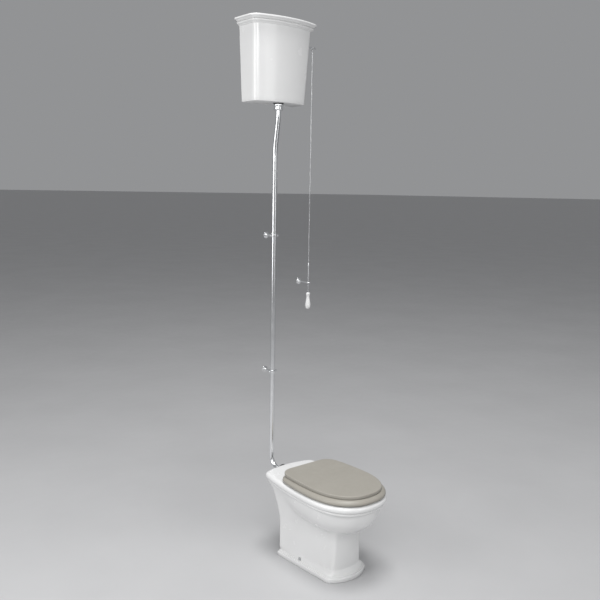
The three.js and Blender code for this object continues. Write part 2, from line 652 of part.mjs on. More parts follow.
function cisternLid() {
  const [half, sideDepth, front] = cisternAt(CISTERN.cornice);
  const level = (z, within) => {
    const extra = CISTERN_LID.overhang - within;
    return cisternRing(z, half + extra, sideDepth + extra * 0.62, front + extra * 0.85, 0, 0,
      CISTERN_LID.corner - within / 2);
  };
  const slab = loft([level(CISTERN_LID.bottom, 14), level(CISTERN_LID.bottom + 3, 8),
    level(CISTERN_LID.bottom + 6, 2), level(CISTERN_LID.top - 4, 0),
    level(CISTERN_LID.top - 1.5, 1), level(CISTERN_LID.top, 4)]);
  const inside = (z, inset) => cisternRing(z, half, sideDepth, front, inset, inset);
  const lip = loft([inside(CISTERN_LID.bottom - 9, 12), inside(CISTERN_LID.bottom + 2, 12)]);
  const recess = loft([inside(CISTERN_LID.bottom - 10, 20), inside(CISTERN_LID.bottom + 7, 22)]);
  return carve(slab, [recess], [lip]);
}

add('cistern_body', cisternBody(), GLAZE);
add('cistern_lid', cisternLid(), GLAZE);

for (const [word, sign] of [['left', -1], ['right', 1]]) {
  const place = [sign * WALL_SCREWS.x, WALL, WALL_SCREWS.z];
  const washer = turnedRing([[4.4, 9.4], [10, 9.4], [10, 12], [4.4, 12]], 16);
  add(`wall_washer_${word}`, washer, RUBBER, place, [Math.PI / 2, 0, 0]);
  const screw = turned([[0, 0.5], [3.8, 0.5], [3.8, 12.4], [6.5, 12.4], [6.5, 17], [0, 17]], 12);
  add(`wall_screw_${word}`, screw, STEEL, place, [Math.PI / 2, 0, 0]);
}

// ---------------------------------------------------------------- siphon
const BEND_STEPS = 6;
const CHAMBER = { x: LEVER.inner, forward: LEVER.forward, radius: 28, bottom: 2182, top: 2268 };

function siphonBody() {
  const crown = 2312;             // where the two limbs start to bend over
  const radius = -CHAMBER.x / 2;
  const stations = [new THREE.Vector3(CHAMBER.x, y(CHAMBER.forward), CHAMBER.top - 6)];
  for (let i = 0; i <= BEND_STEPS; i += 1) {
    const angle = Math.PI * (1 - i / BEND_STEPS);
    stations.push(new THREE.Vector3(CHAMBER.x / 2 + radius * Math.cos(angle),
      mix(y(CHAMBER.forward), y(TAIL.forward), i / BEND_STEPS), crown + radius * Math.sin(angle)));
  }
  stations.push(new THREE.Vector3(0, y(TAIL.forward), 2146));
  const limb = swept(stations, 16, 10);
  const waterway = swept([stations[0].clone().setZ(CHAMBER.top - 12), ...stations.slice(1, -1),
    stations.at(-1).clone().setZ(2140)], 13.4, 10);
  const chamber = post(CHAMBER.radius, CHAMBER.bottom, CHAMBER.top, 14, CHAMBER.x,
    y(CHAMBER.forward));
  const chamberBore = post(CHAMBER.radius - 3, CHAMBER.bottom - 1, CHAMBER.top - 4, 14,
    CHAMBER.x, y(CHAMBER.forward));
  const seat = turned([[0, 2176.6], [26, 2176.6], [26, 2182], [16, 2186], [0, 2186]], 14)
    .translate(0, y(TAIL.forward), 0);
  const thread = post(TAIL.radius, 2146, 2180, 14, 0, y(TAIL.forward));
  // the lift rod runs up through a guide bored in the crown
  const guide = post(3.5, CHAMBER.bottom, crown + 60, 8, CHAMBER.x, y(CHAMBER.forward));
  return carve(limb, [waterway, chamberBore, guide], [chamber, seat, thread]);
}

add('siphon_body', siphonBody(), WHITE_PLASTIC);

const piston = turned([[0, 0], [23.5, 0], [23.5, 4], [6, 6], [0, 6]], 14);
add('siphon_piston', piston, WHITE_PLASTIC,
  [CHAMBER.x, y(CHAMBER.forward), CHAMBER.bottom + 6]);
const rodTop = LEVER.z + 11;
const liftRod = turned([[0, 0], [1.6, 0], [1.6, rodTop - 3 - 2195], [3.4, rodTop - 2195],
  [0, rodTop + 3 - 2195]], 10);
add('siphon_lift_rod', liftRod, BRASS, [CHAMBER.x, y(CHAMBER.forward), 2195]);

const tailPlace = [0, y(TAIL.forward), 0];
const washer = turnedRing([[TAIL.radius + 0.6, CISTERN.bottom - 4], [25, CISTERN.bottom - 4],
  [25, CISTERN.bottom - GAP], [TAIL.radius + 0.6, CISTERN.bottom - GAP]], 16);
add('tail_washer', washer, RUBBER, tailPlace);
const backNut = turnedRing([[TAIL.radius + 0.5, 2152], [24, 2152], [25, 2153.5], [25, 2159],
  [24, 2160.6], [TAIL.radius + 0.5, 2160.6]], 16);
add('tail_nut', backNut, CHROME, tailPlace);
const capNut = turnedRing([[PIPE.radius + 0.5, 2131], [19, 2131], [23, 2134], [23, 2149.6],
  [21.5, 2151.5], [TAIL.radius + 0.5, 2151.5], [TAIL.radius + 0.5, 2145], [PIPE.radius + 0.5, 2142]],
  16);
add('pipe_nut', capNut, CHROME, tailPlace);

// ---------------------------------------------------------------- fill valve and float
const FLOAT_DROP = 28;            // how far the arm hangs below level in an empty cistern

function fillValve() {
  const barrel = crossbar(12, 112, 155.4, 14);
  const thread = crossbar(7.8, 150, 206, 14);
  const spout = post(6, -46, 0, 12, 132, 0);
  const ears = [-1, 1].map((sign) => block(16, 4, 18, 106, sign * 9, 0));
  const bores = [crossbar(4.5, 130, 210, 12), spigot(2.6, -14, 14, 12, 104, 0)];
  return carve(barrel, bores, [thread, spout, ...ears]);
}

const valvePlace = [0, y(INLET_VALVE.forward), INLET_VALVE.z];
add('fill_valve', fillValve(), BRASS, valvePlace);
const wallX = halfAt(INLET_VALVE.z);
const valveNut = carve(post(15, 0, 7, 6), [post(8.4, -1, 8, 14)]);
add('fill_valve_nut', valveNut, BRASS,
  [wallX + 1.6, y(INLET_VALVE.forward), INLET_VALVE.z], [0, Math.PI / 2, 0]);

function floatArm() {
  const arm = swept([[0, 0], [-26, -3], [-40, -6], [-56, -16]].map(([x, z]) =>
    new THREE.Vector3(x, 0, z)), 2.6, 8);
  const boss = spigot(5, -6.4, 6.4, 14);
  return carve(arm, [spigot(2.7, -9, 9, 12)], [boss]);
}

const pivotPlace = [104, y(INLET_VALVE.forward), INLET_VALVE.z];
const hanging = [0, -THREE.MathUtils.degToRad(FLOAT_DROP), 0];
add('float_arm', floatArm(), BRASS, pivotPlace, hanging);
add('float_pin', spigot(2.2, -13, 13, 12), BRASS, pivotPlace);
const float = turned([[0, -64], [16, -64], [22, -58], [22, -24], [18, -19], [0, -19]], 14)
  .translate(-56, 0, 0);
add('float', float, WHITE_PLASTIC, pivotPlace, hanging);

// ---------------------------------------------------------------- lever, chain and pull
const leverY = y(LEVER.forward);

function lever() {
  const inner = LEVER.inner - 20;
  const middle = (LEVER.tip + inner) / 2 - LEVER.pivotX;
  const bar = block(LEVER.tip - inner, 5, 11, middle, 0, 0);
  const boss = spigot(9, -4, 4, 16);
  // widened round the slot that the lift rod passes through
  const pad = block(30, 9, 8, LEVER.inner - LEVER.pivotX - 5, 0, 0);
  const slot = block(20, 3.8, 14, LEVER.inner - LEVER.pivotX - 5, 0, 0);
  // the hook's pin rides in a slot, because the chain runs straight down
  const hookSlot = block(15, 8, 5.6, LEVER.chain - LEVER.pivotX + 3.5, 0, 0);
  const cuts = [slot, spigot(4, -8, 8, 14), hookSlot];
  return carve(bar, cuts, [boss, pad]);
}

add('lever', lever(), CHROME, [LEVER.pivotX, leverY, LEVER.z]);
add('lever_pin', spigot(3.3, -11, 11, 14), CHROME, [LEVER.pivotX, leverY, LEVER.z]);

const bracketX = halfAt(LEVER.z) - CISTERN.thickness - 4.6;

/** Two cheeks either side of the lever, on a plate inside the cistern's wall. */
function leverBracket() {
  const plate = block(3, 34, 70, 0, 0, -9);
  const cheeks = [-1, 1].map((sign) => block(60, 3, 22, -29, sign * 8, 0));
  const inside = bracketX - LEVER.pivotX;
  return carve(plate, [block(20, 12, 44, 0, 0, -8.5), spigot(3.8, -12, 12, 14, -inside, 0),
    ...[-1, 1].map((sign) => crossbar(2.4, -9, 9, 10, 0, sign * 27 - 8.5))], cheeks);
}

add('lever_bracket', leverBracket(), STEEL, [bracketX, leverY, LEVER.z]);

/** The plate round the slot outside, laid to the wall's lean. */
function escutcheon() {
  const plate = block(3, 26, 72, 0, 0, 0);
  return carve(plate, [block(8, SLOT.width, SLOT.high - SLOT.low, 0, 0, 0),
    ...[-1, 1].map((sign) => crossbar(2.4, -6, 6, 10, 0, sign * 27))]);
}

const slotMiddle = (SLOT.low + SLOT.high) / 2;
add('lever_escutcheon', escutcheon(), CHROME,
  [halfAt(slotMiddle) + 2.2, leverY, slotMiddle], [0, LEAN, 0]);
for (const [word, sign] of [['upper', 1], ['lower', -1]]) {
  const z = slotMiddle + sign * 27;
  const screw = turned([[0, -20], [1.9, -20], [1.9, 0], [4.2, 0], [3.6, 2.2], [0, 2.8]], 10);
  add(`escutcheon_screw_${word}`, screw, CHROME, [halfAt(z) + 4.6, leverY, z],
    [0, Math.PI / 2, 0]);
}

/** Hook pinned through the lever's tip: a stem down to an eye that holds the chain. */
function chainHook() {
  const fork = [-1, 1].map((sign) => block(6, 1.6, 13.4, 0, sign * 3.8, -4.4));
  const bridge = block(6, 9.2, 2.2, 0, 0, -10);
  const pin = spigot(1.8, -4.2, 4.2, 10);
  const stem = post(1.8, -18.5, -10, 10);
  return carve(bridge, [], [...fork, pin, stem]);
}

add('chain_hook', chainHook(), CHROME, [LEVER.chain, leverY, LEVER.z]);

const chainEnds = [CHAIN.top, CHAIN.bottom].map((z) => new THREE.Vector3(LEVER.chain, leverY, z));
add('pull_chain', swept(chainEnds, CHAIN.radius, 8), CHROME);

const rodShape = turned([[0, ROD.bottom], [ROD.radius, ROD.bottom], [ROD.radius, 1376],
  [4.6, 1379], [5, 1385], [3.4, 1391], [1.6, CHAIN.bottom - GAP], [0, CHAIN.bottom - GAP]], 14);
add('pull_rod', rodShape, CHROME, [LEVER.chain, leverY, 0]);

const handleShape = turned([[0, HANDLE.bottom], [7, HANDLE.bottom + 1], [11.5, 1161],
  [14, 1170], [14.2, 1178], [12.5, 1192], [9.6, 1206], [8, 1217], [8.2, 1222], [10, 1226],
  [10.6, 1231], [9, 1237], [5.5, HANDLE.top - 0.5], [0, HANDLE.top]], 14);
add('pull_handle', handleShape, GLAZE, [LEVER.chain, leverY, 0]);

// the rod runs through an eye held off the wall
const guideReach = LEVER.forward - 11.5;
add('guide_rose', rose(guideReach - GAP, 3.2, 16), CHROME,
  [LEVER.chain, WALL, GUIDE_Z], [Math.PI / 2, 0, 0]);
const eye = turnedRing([[8.6, -3], [11.4, -3], [11.4, 3], [8.6, 3]], 20);
add('guide_eye', eye, CHROME, [LEVER.chain, leverY, GUIDE_Z]);

export default suite;
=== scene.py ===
"""Looks of a high-level toilet suite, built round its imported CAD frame.

Shapes are worked out in millimetres in the row frame (x to the right, y towards the wall, z up) and
made in metres. Plan outlines use the distance forward of the wall, called forward, instead of y.
"""

import json
from math import atan2, cos, hypot, pi, radians, sin

import bmesh
import bpy
import numpy as np
from mathutils import Matrix, Vector


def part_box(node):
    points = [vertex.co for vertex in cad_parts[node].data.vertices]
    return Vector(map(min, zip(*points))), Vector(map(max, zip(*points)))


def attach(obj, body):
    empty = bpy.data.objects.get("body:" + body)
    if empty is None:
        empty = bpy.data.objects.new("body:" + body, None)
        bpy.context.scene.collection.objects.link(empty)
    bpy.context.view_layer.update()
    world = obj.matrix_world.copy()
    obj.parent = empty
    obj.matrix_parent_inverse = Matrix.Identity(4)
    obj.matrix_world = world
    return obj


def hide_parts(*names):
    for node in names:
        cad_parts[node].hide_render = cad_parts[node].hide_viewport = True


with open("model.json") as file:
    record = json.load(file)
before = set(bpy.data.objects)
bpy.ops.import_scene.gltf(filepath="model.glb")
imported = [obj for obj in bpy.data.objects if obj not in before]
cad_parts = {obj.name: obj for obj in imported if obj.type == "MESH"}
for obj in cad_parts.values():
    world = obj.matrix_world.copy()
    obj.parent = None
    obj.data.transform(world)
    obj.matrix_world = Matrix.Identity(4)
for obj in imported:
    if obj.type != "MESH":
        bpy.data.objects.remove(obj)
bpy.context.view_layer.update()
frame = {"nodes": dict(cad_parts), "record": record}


# ---------------------------------------------------------------- places taken from the frame
def low(node, axis):
    """The lowest coordinate of a CAD node along an axis, in millimetres."""
    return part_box(node)[0]["xyz".index(axis)] * 1000


def high(node, axis):
    """The highest coordinate of a CAD node along an axis, in millimetres."""
    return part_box(node)[1]["xyz".index(axis)] * 1000


def middle(node, axis):
    """Halfway across a CAD node along an axis, in millimetres."""
    return (low(node, axis) + high(node, axis)) / 2


WALL = high("cistern_body", "y")
DECK_TOP = high("pan", "z")
PIPE_FORWARD = WALL - middle("pipe_clamp_upper", "y")
TAIL_FORWARD = WALL - middle("tail_nut", "y")
LEVER_FORWARD = WALL - middle("lever", "y")
HINGE_FORWARD = WALL - middle("hinge_pin_left", "y")
HINGE_X = middle("hinge_stud_right", "x")
HINGE_Z = middle("hinge_pin_left", "z")
CHAIN_X = middle("pull_chain", "x")

# ---------------------------------------------------------------- driving dimensions, as in the CAD
FOOT = {"back": 286, "half_back": 130, "half_front": 118.5, "corner": 642, "front": 688}
STEM = {"back": 295, "half_back": 125.5, "half_front": 84, "corner": 640, "front": 657}
STEM_NARROWING = 11
FLARE = {"start": 172, "power": 1.55}
STEM_TOP = 355
RIM = {"half": 190, "centre": 575, "front": 803, "back": -5, "power": 2.3}
DECK = {"half": 152, "corner": 205, "back": 176}
LEDGE = {"back": 11, "front": 17}
BOWL = {
    "depth": 150, "drop": 2.05, "back_drop": 3, "power": 2, "back_power": 3.2, "back": 260, "inset": 17,
    "crease": 14,
}
WALL_THICKNESS = 12
RING = {
    "half": 185.5, "front": 799, "back": 328, "centre": 563, "power": 2.35, "back_power": 2.15,
    "reach": 404, "shoulder": 61,
}
RING_HOLE = {"half": 116, "front": 728, "back": 428}
LID = {
    "half": 167.5, "front": 782, "back": 330, "centre": 548, "power": 2.4, "back_power": 2.28,
    "reach": 392, "shoulder": 59,
}
PIPE_RADIUS = 13
ELBOW = 50
OUTLET = {"z": 190, "forward": 232, "radius": 51, "bore": 40}
FLOOR_REACH = 400000
FLOOR_LEVEL = -0.6


# ---------------------------------------------------------------- camera
def make_camera():
    """The camera at the photograph's viewing angle."""
    yaw, pitch, roll = radians(39.70), radians(8.30), radians(0.959)
    forward = Vector((sin(yaw) * cos(pitch), cos(yaw) * cos(pitch), -sin(pitch)))
    level = Vector((cos(yaw), -sin(yaw), 0))
    up = level.cross(forward)
    right = level * cos(roll) + up * sin(roll)
    top = up * cos(roll) - level * sin(roll)
    data = bpy.data.cameras.new("camera")
    data.sensor_width = 36
    data.lens = 44.72
    camera = bpy.data.objects.new("camera", data)
    place = Matrix((right, top, -forward)).transposed().to_4x4()
    place.translation = Vector((-2.2405, WALL / 1000 - 2.9718, 1.7520))
    camera.matrix_world = place
    bpy.context.scene.collection.objects.link(camera)
    bpy.context.scene.camera = camera


# ---------------------------------------------------------------- light and floor
def make_area_light(name, place, target, size, power):
    """A large soft lamp at a place, turned towards a target and not seen itself."""
    data = bpy.data.lights.new(name, "AREA")
    data.shape = "RECTANGLE"
    data.size, data.size_y = size
    data.energy = power
    lamp = bpy.data.objects.new(name, data)
    lamp.location = place
    lamp.rotation_euler = (Vector(target) - Vector(place)).to_track_quat("-Z", "Y").to_euler()
    lamp.visible_camera = False
    bpy.context.scene.collection.objects.link(lamp)


def make_lights():
    """Soft boxes at the left and in front, a key between them, one high above, and a pale surround."""
    world = bpy.data.worlds.new("surround")
    world.use_nodes = True
    surround = world.node_tree.nodes["Background"]
    surround.inputs["Color"].default_value = (0.80, 0.81, 0.83, 1)
    surround.inputs["Strength"].default_value = 0.36
    bpy.context.scene.world = world
    bpy.context.scene.view_settings.view_transform = "Standard"
    make_area_light("left_box", (-3.3, 0.2, 2.1), (0, 0, 1.0), (1.4, 2.4), 38)
    make_area_light("key", (-2.4, -2.6, 3.2), (0, 0, 1.0), (2.0, 2.0), 60)
    make_area_light("top_box", (-0.8, -1.2, 8.5), (0, -0.2, 0.4), (3.0, 3.0), 390)
    make_area_light("front_box", (0.6, -3.8, 2.1), (0, 0, 1.2), (1.2, 2.4), 13)


def make_floor():
    """The plain pale floor."""
    edge = np.linspace(-FLOOR_REACH, FLOOR_REACH, 13)
    points = np.array([(x, y, FLOOR_LEVEL) for y in edge for x in edge])
    count = len(edge)
    faces = [
        (j * count + i, j * count + i + 1, (j + 1) * count + i + 1, (j + 1) * count + i)
        for j in range(count - 1)
        for i in range(count - 1)
    ]
    floor = make_object("floor", [(points, faces)], floor_material())


# ---------------------------------------------------------------- materials
class Surface:
    """A Principled material under construction, with short calls for its procedural parts."""

    def __init__(self, name, roughness, metallic=0.0):
        self.material = bpy.data.materials.new(name)
        self.material.use_nodes = True
        self.nodes = self.material.node_tree.nodes
        self.link = self.material.node_tree.links.new
        self.shader = self.nodes["Principled BSDF"]
        self.shader.inputs["Roughness"].default_value = roughness
        self.shader.inputs["Metallic"].default_value = metallic
        self.place = self.nodes.new("ShaderNodeTexCoord").outputs["Object"]

    def noise(self, size_mm, detail):
        """Noise with features of about this size, as a 0 to 1 output."""
        mapping = self.nodes.new("ShaderNodeMapping")
        mapping.inputs["Scale"].default_value = [1000 / size_mm] * 3
        self.link(self.place, mapping.inputs["Vector"])
        texture = self.nodes.new("ShaderNodeTexNoise")
        texture.inputs["Scale"].default_value = 1.0
        texture.inputs["Detail"].default_value = detail
        self.link(mapping.outputs["Vector"], texture.inputs["Vector"])
        return texture.outputs["Fac"]

    def ramp(self, source, stops):
        """A colour ramp from (place, colour) stops."""
        ramp = self.nodes.new("ShaderNodeValToRGB")
        elements = ramp.color_ramp.elements
        while len(elements) < len(stops):
            elements.new(0.5)
        for element, (place, colour) in zip(elements, stops):
            element.position = place
            element.color = (*colour, 1)
        self.link(source, ramp.inputs["Fac"])
        return ramp.outputs["Color"]

    def spread(self, source, lowest, highest):
        """The middle part of the source stretched to run from lowest to highest."""
        node = self.nodes.new("ShaderNodeMapRange")
        node.inputs["From Min"].default_value = 0.3
        node.inputs["From Max"].default_value = 0.7
        node.inputs["To Min"].default_value = lowest
        node.inputs["To Max"].default_value = highest
        self.link(source, node.inputs["Value"])
        return node.outputs["Result"]

    def colour(self, source, stops):
        self.link(self.ramp(source, stops), self.shader.inputs["Base Color"])
        return self

    def roughness(self, source, lowest, highest):
        self.link(self.spread(source, lowest, highest), self.shader.inputs["Roughness"])
        return self

    def bumps(self, *layers):
        """Bump from (source, height in mm) layers, each laid over the last."""
        previous = None
        for source, height in layers:
            bump = self.nodes.new("ShaderNodeBump")
            bump.inputs["Strength"].default_value = 1.0
            bump.inputs["Distance"].default_value = height / 1000
            self.link(source, bump.inputs["Height"])
            if previous is not None:
                self.link(previous, bump.inputs["Normal"])
            previous = bump.outputs["Normal"]
        self.link(previous, self.shader.inputs["Normal"])
        return self

    def coat(self, weight, roughness):
        self.shader.inputs["Coat Weight"].default_value = weight
        self.shader.inputs["Coat Roughness"].default_value = roughness
        return self


def glaze_material():
    """White glazed ceramic: a clear glaze over a slightly uneven body."""
    surface = Surface("glaze", 0.22)
    surface.colour(
        surface.noise(180, 2),
        [(0.30, (0.800, 0.800, 0.795)), (0.70, (0.835, 0.835, 0.832))],
    )
    surface.roughness(surface.noise(60, 4), 0.18, 0.28)
    surface.bumps((surface.noise(45, 1), 0.04), (surface.noise(4, 2), 0.006))
    return surface.coat(0.35, 0.09).material


def seat_material():
    """Greige satin paint over a smooth moulded wood seat, with a faint sprayed texture."""
    surface = Surface("seat_paint", 0.42)
    surface.colour(
        surface.noise(90, 5),
        [
            (0.25, (0.340, 0.321, 0.281)),
            (0.55, (0.354, 0.335, 0.294)),
            (0.80, (0.368, 0.349, 0.308)),
        ],
    )
    surface.roughness(surface.noise(25, 5), 0.36, 0.50)
    surface.bumps((surface.noise(28, 1), 0.03), (surface.noise(1.6, 3), 0.012))
    return surface.material


def chrome_material():
    """Chrome plate with a soft polish and faint handling marks."""
    surface = Surface("chrome", 0.2, 1.0)
    surface.colour(
        surface.noise(120, 2),
        [(0.3, (0.80, 0.81, 0.82)), (0.7, (0.86, 0.87, 0.88))],
    )
    surface.roughness(surface.noise(22, 5), 0.16, 0.26)
    surface.bumps((surface.noise(30, 1), 0.02))
    return surface.material


def steel_material():
    """Zinc-plated steel, dull and lightly mottled."""
    surface = Surface("steel", 0.4, 1.0)
    surface.colour(
        surface.noise(9, 4), [(0.3, (0.46, 0.47, 0.48)), (0.7, (0.60, 0.61, 0.62))]
    )
    surface.roughness(surface.noise(6, 4), 0.32, 0.50)
    surface.bumps((surface.noise(2, 3), 0.02))
    return surface.material


def brass_material():
    """Cast and turned brass, a little tarnished."""
    surface = Surface("brass", 0.33, 1.0)
    surface.colour(
        surface.noise(14, 5),
        [(0.3, (0.50, 0.35, 0.14)), (0.6, (0.66, 0.48, 0.22)), (0.8, (0.70, 0.53, 0.27))],
    )
    surface.roughness(surface.noise(5, 4), 0.25, 0.46)
    surface.bumps((surface.noise(1.5, 3), 0.02))
    return surface.material


def rubber_material():
    """Black moulded rubber with a dusty bloom."""
    surface = Surface("rubber", 0.75)
    surface.colour(
        surface.noise(8, 5), [(0.3, (0.018, 0.018, 0.019)), (0.75, (0.042, 0.041, 0.040))]
    )
    surface.roughness(surface.noise(3, 4), 0.62, 0.86)
    surface.bumps((surface.noise(0.8, 3), 0.02))
    return surface.material


def plastic_material():
    """White moulded plastic with a fine spark-eroded grain."""
    surface = Surface("white_plastic", 0.45)
    surface.colour(
        surface.noise(40, 3), [(0.3, (0.70, 0.70, 0.67)), (0.7, (0.76, 0.76, 0.73))]
    )
    surface.roughness(surface.noise(7, 4), 0.38, 0.55)
    surface.bumps((surface.noise(0.9, 2), 0.015))
    return surface.material


def water_material():
    """Still water, slightly blue with depth."""
    surface = Surface("water", 0.02)
    surface.colour(
        surface.noise(60, 2), [(0.3, (0.42, 0.50, 0.53)), (0.7, (0.50, 0.58, 0.60))]
    )
    surface.roughness(surface.noise(90, 2), 0.015, 0.04)
    surface.bumps((surface.noise(35, 1), 0.04))
    return surface.material


def floor_material():
    """Pale matt studio floor with a faint mottle."""
    surface = Surface("floor_paint", 0.6)
    surface.colour(
        surface.noise(700, 4), [(0.3, (0.50, 0.50, 0.505)), (0.7, (0.53, 0.53, 0.535))]
    )
    surface.roughness(surface.noise(90, 4), 0.55, 0.7)
    surface.bumps((surface.noise(12, 3), 0.04))
    return surface.material


# ---------------------------------------------------------------- mesh code
def at(forward):
    """The y of a distance forward of the wall."""
    return WALL - forward


def merged(shapes):
    """Several (points, faces) shapes as one."""
    points, faces = [], []
    for shape_points, shape_faces in shapes:
        start = sum(len(p) for p in points)
        points.append(np.asarray(shape_points, float))
        faces += [tuple(i + start for i in face) for face in shape_faces]
    return np.concatenate(points), faces


def make_object(name, shapes, material, sharp=32):
    """A mesh object from millimetre shapes, smooth except where it turns by more than sharp degrees."""
    points, faces = merged(shapes)
    mesh = bpy.data.meshes.new(name)
    mesh.from_pydata([tuple(p) for p in points / 1000], [], faces)
    work = bmesh.new()
    work.from_mesh(mesh)
    bmesh.ops.remove_doubles(work, verts=work.verts, dist=1e-6)
    bmesh.ops.dissolve_degenerate(work, edges=work.edges, dist=1e-7)
    bmesh.ops.recalc_face_normals(work, faces=work.faces)
    work.to_mesh(mesh)
    work.free()
    mesh.polygons.foreach_set("use_smooth", [True] * len(mesh.polygons))
    mesh.set_sharp_from_angle(angle=radians(sharp))
    mesh.materials.append(material)
    piece = bpy.data.objects.new(name, mesh)
    bpy.context.scene.collection.objects.link(piece)
    return piece


def make_piece(name, shapes, material, body, replaces=(), cuts=(), sharp=32):
    """A piece of the object that rides on a CAD body and may stand for CAD nodes."""
    piece = make_object(name, shapes, material, sharp)
    if cuts:
        cut_away(piece, cuts, sharp)
    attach(piece, body)
    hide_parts(*replaces)


def stand_in(node, ending, shapes, material, body="pan_and_cistern", cuts=(), sharp=32):
    """A piece that stands for one CAD node and is named after it."""
    make_piece(f"{node}_{ending}", shapes, material, body, [node], cuts, sharp)


def cut_away(piece, cuts, sharp):
    """Takes closed shapes out of a piece."""
    cutter = make_object("cutter", cuts, piece.data.materials[0])
    modifier = piece.modifiers.new("cut", "BOOLEAN")
    modifier.operation = "DIFFERENCE"
    modifier.solver = "EXACT"
    modifier.object = cutter
    bpy.context.view_layer.update()
    graph = bpy.context.evaluated_depsgraph_get()
    carved = bpy.data.meshes.new_from_object(piece.evaluated_get(graph))
    piece.modifiers.clear()
    piece.data = carved
    carved.polygons.foreach_set("use_smooth", [True] * len(carved.polygons))
    carved.set_sharp_from_angle(angle=radians(sharp))
    bpy.data.objects.remove(cutter)


def loft(rings, closed=False):
    """Closed outlines of equal length joined in order, with fans over the ends unless it closes."""
    rings = [np.asarray(ring, float) for ring in rings]
    count = len(rings[0])
    points = np.concatenate(rings)
    pairs = [(i, i + 1) for i in range(len(rings) - 1)]
    if closed:
        pairs.append((len(rings) - 1, 0))
    faces = []
    for a, b in pairs:
        for i in range(count):
            j = (i + 1) % count
            faces.append((a * count + i, a * count + j, b * count + j, b * count + i))
    if not closed:
        for ring, start in ((rings[0], 0), (rings[-1], (len(rings) - 1) * count)):
            points = np.vstack([points, ring.mean(axis=0)])
            tip = len(points) - 1
            faces += [(start + i, start + (i + 1) % count, tip) for i in range(count)]
    return points, faces


def turned(profile, segments=48, place=(0, 0, 0), along="z", closed=False):
    """A profile of (radius, height) turned about an axis that starts at place."""
    steps = np.linspace(0, 2 * pi, segments, endpoint=False)
    rings = [
        np.column_stack([r * np.cos(steps), r * np.sin(steps), np.full(segments, float(h))])
        for r, h in profile
    ]
    points, faces = loft(rings, closed)
    turn = {
        "z": Matrix.Identity(3),
        "x": Matrix.Rotation(pi / 2, 3, "Y"),
        "-x": Matrix.Rotation(-pi / 2, 3, "Y"),
        "-y": Matrix.Rotation(pi / 2, 3, "X"),
        "y": Matrix.Rotation(-pi / 2, 3, "X"),
    }[along]
    return points @ np.array(turn).T + np.array(place, float), faces


def eased(profile, radius, closed=False, steps=4):
    """A profile with each of its corners rounded to about this radius."""
    points = [np.array(p, float) for p in profile]
    count = len(points)
    out = []
    for i, corner in enumerate(points):
        if not closed and i in (0, count - 1):
            out.append(corner)
            continue
        before, after = points[i - 1] - corner, points[(i + 1) % count] - corner
        reach = min(radius, hypot(*before) * 0.45, hypot(*after) * 0.45)
        start = corner + before / max(hypot(*before), 1e-9) * reach
        end = corner + after / max(hypot(*after), 1e-9) * reach
        for t in np.linspace(0, 1, steps):
            out.append(start * (1 - t) ** 2 + corner * 2 * t * (1 - t) + end * t * t)
    return [tuple(p) for p in out]


def swept(path, radius, sides=24, bore=None, closed=False):
    """A round bar along a path, or a tube with a bore."""
    path = np.array(path, float)
    ahead = np.roll(path, -1, axis=0) - path
    behind = path - np.roll(path, 1, axis=0)
    if not closed:
        ahead[-1] = behind[-1]
        behind[0] = ahead[0]
    unit = lambda v: v / np.linalg.norm(v, axis=1, keepdims=True)
    tangents = unit(unit(ahead) + unit(behind))
    side = np.cross(tangents[0], (0, 0, 1) if abs(tangents[0][2]) < 0.9 else (1, 0, 0))
    turns = np.linspace(0, 2 * pi, sides, endpoint=False)
    outer, inner = [], []
    for point, tangent in zip(path, tangents):
        side = side - tangent * np.dot(side, tangent)
        side /= np.linalg.norm(side)
        other = np.cross(tangent, side)
        circle = np.outer(np.cos(turns), side) + np.outer(np.sin(turns), other)
        outer.append(point + circle * radius)
        if bore:
            inner.append(point + circle * bore)
    if bore:
        return loft(outer + inner[::-1], closed=True)
    return loft(outer, closed=closed)


def box_shape(size, centre, ease=0.8, steps=3):
    """A block with rounded edges, as a loft of rounded rectangles up its height."""
    width, depth, height = (s / 2 for s in size)
    ease = min(ease, width * 0.9, depth * 0.9, height * 0.9)
    rings = []
    arcs = np.linspace(0, pi / 2, steps + 1)
    levels = [(-height + ease * (1 - sin(a)), ease * (1 - cos(a))) for a in arcs[::-1]]
    levels += [(height - ease * (1 - sin(a)), ease * (1 - cos(a))) for a in arcs]
    for z, inset in levels:
        ring = []
        for quarter in range(4):
            cx = (width - ease) * (1 if quarter in (0, 3) else -1)
            cy = (depth - ease) * (1 if quarter in (0, 1) else -1)
            for a in arcs:
                turn = quarter * pi / 2 + a
                r = ease - inset
                ring.append((cx + r * cos(turn), cy + r * sin(turn), z))
        rings.append(ring)
    points, faces = loft(rings)
    return points + np.array(centre, float), faces


# ---------------------------------------------------------------- plan outlines
def clip01(value):
    return np.clip(value, 0, 1)


def smoothstep(value):
    return clip01(value) ** 2 * (3 - 2 * clip01(value))


def blunt(a, b, radius):
    """The larger of two distances, rounded where they cross."""
    h = clip01(0.5 - 0.5 * (b - a) / radius)
    return b * (1 - h) + a * h + radius * h * (1 - h)


def united(a, b, radius):
    return -blunt(-a, -b, radius)


def side_line(x, forward, shape):
    """Distance outside a straight side that runs from one half-width to another."""
    run, fall = shape["corner"] - shape["back"], shape["half_back"] - shape["half_front"]
    length = hypot(run, fall)
    return (np.abs(x) - shape["half_back"]) * run / length + (forward - shape["back"]) * fall / length


def bow(x, forward, half, corner, centre):
    """Distance outside an arc that bows out to centre between two corners."""
    rise = abs(centre - corner)
    radius = (half * half + rise * rise) / (2 * rise)
    way = 1 if centre > corner else -1
    return np.hypot(x, np.maximum(way * (forward - centre + way * radius), 0)) - radius


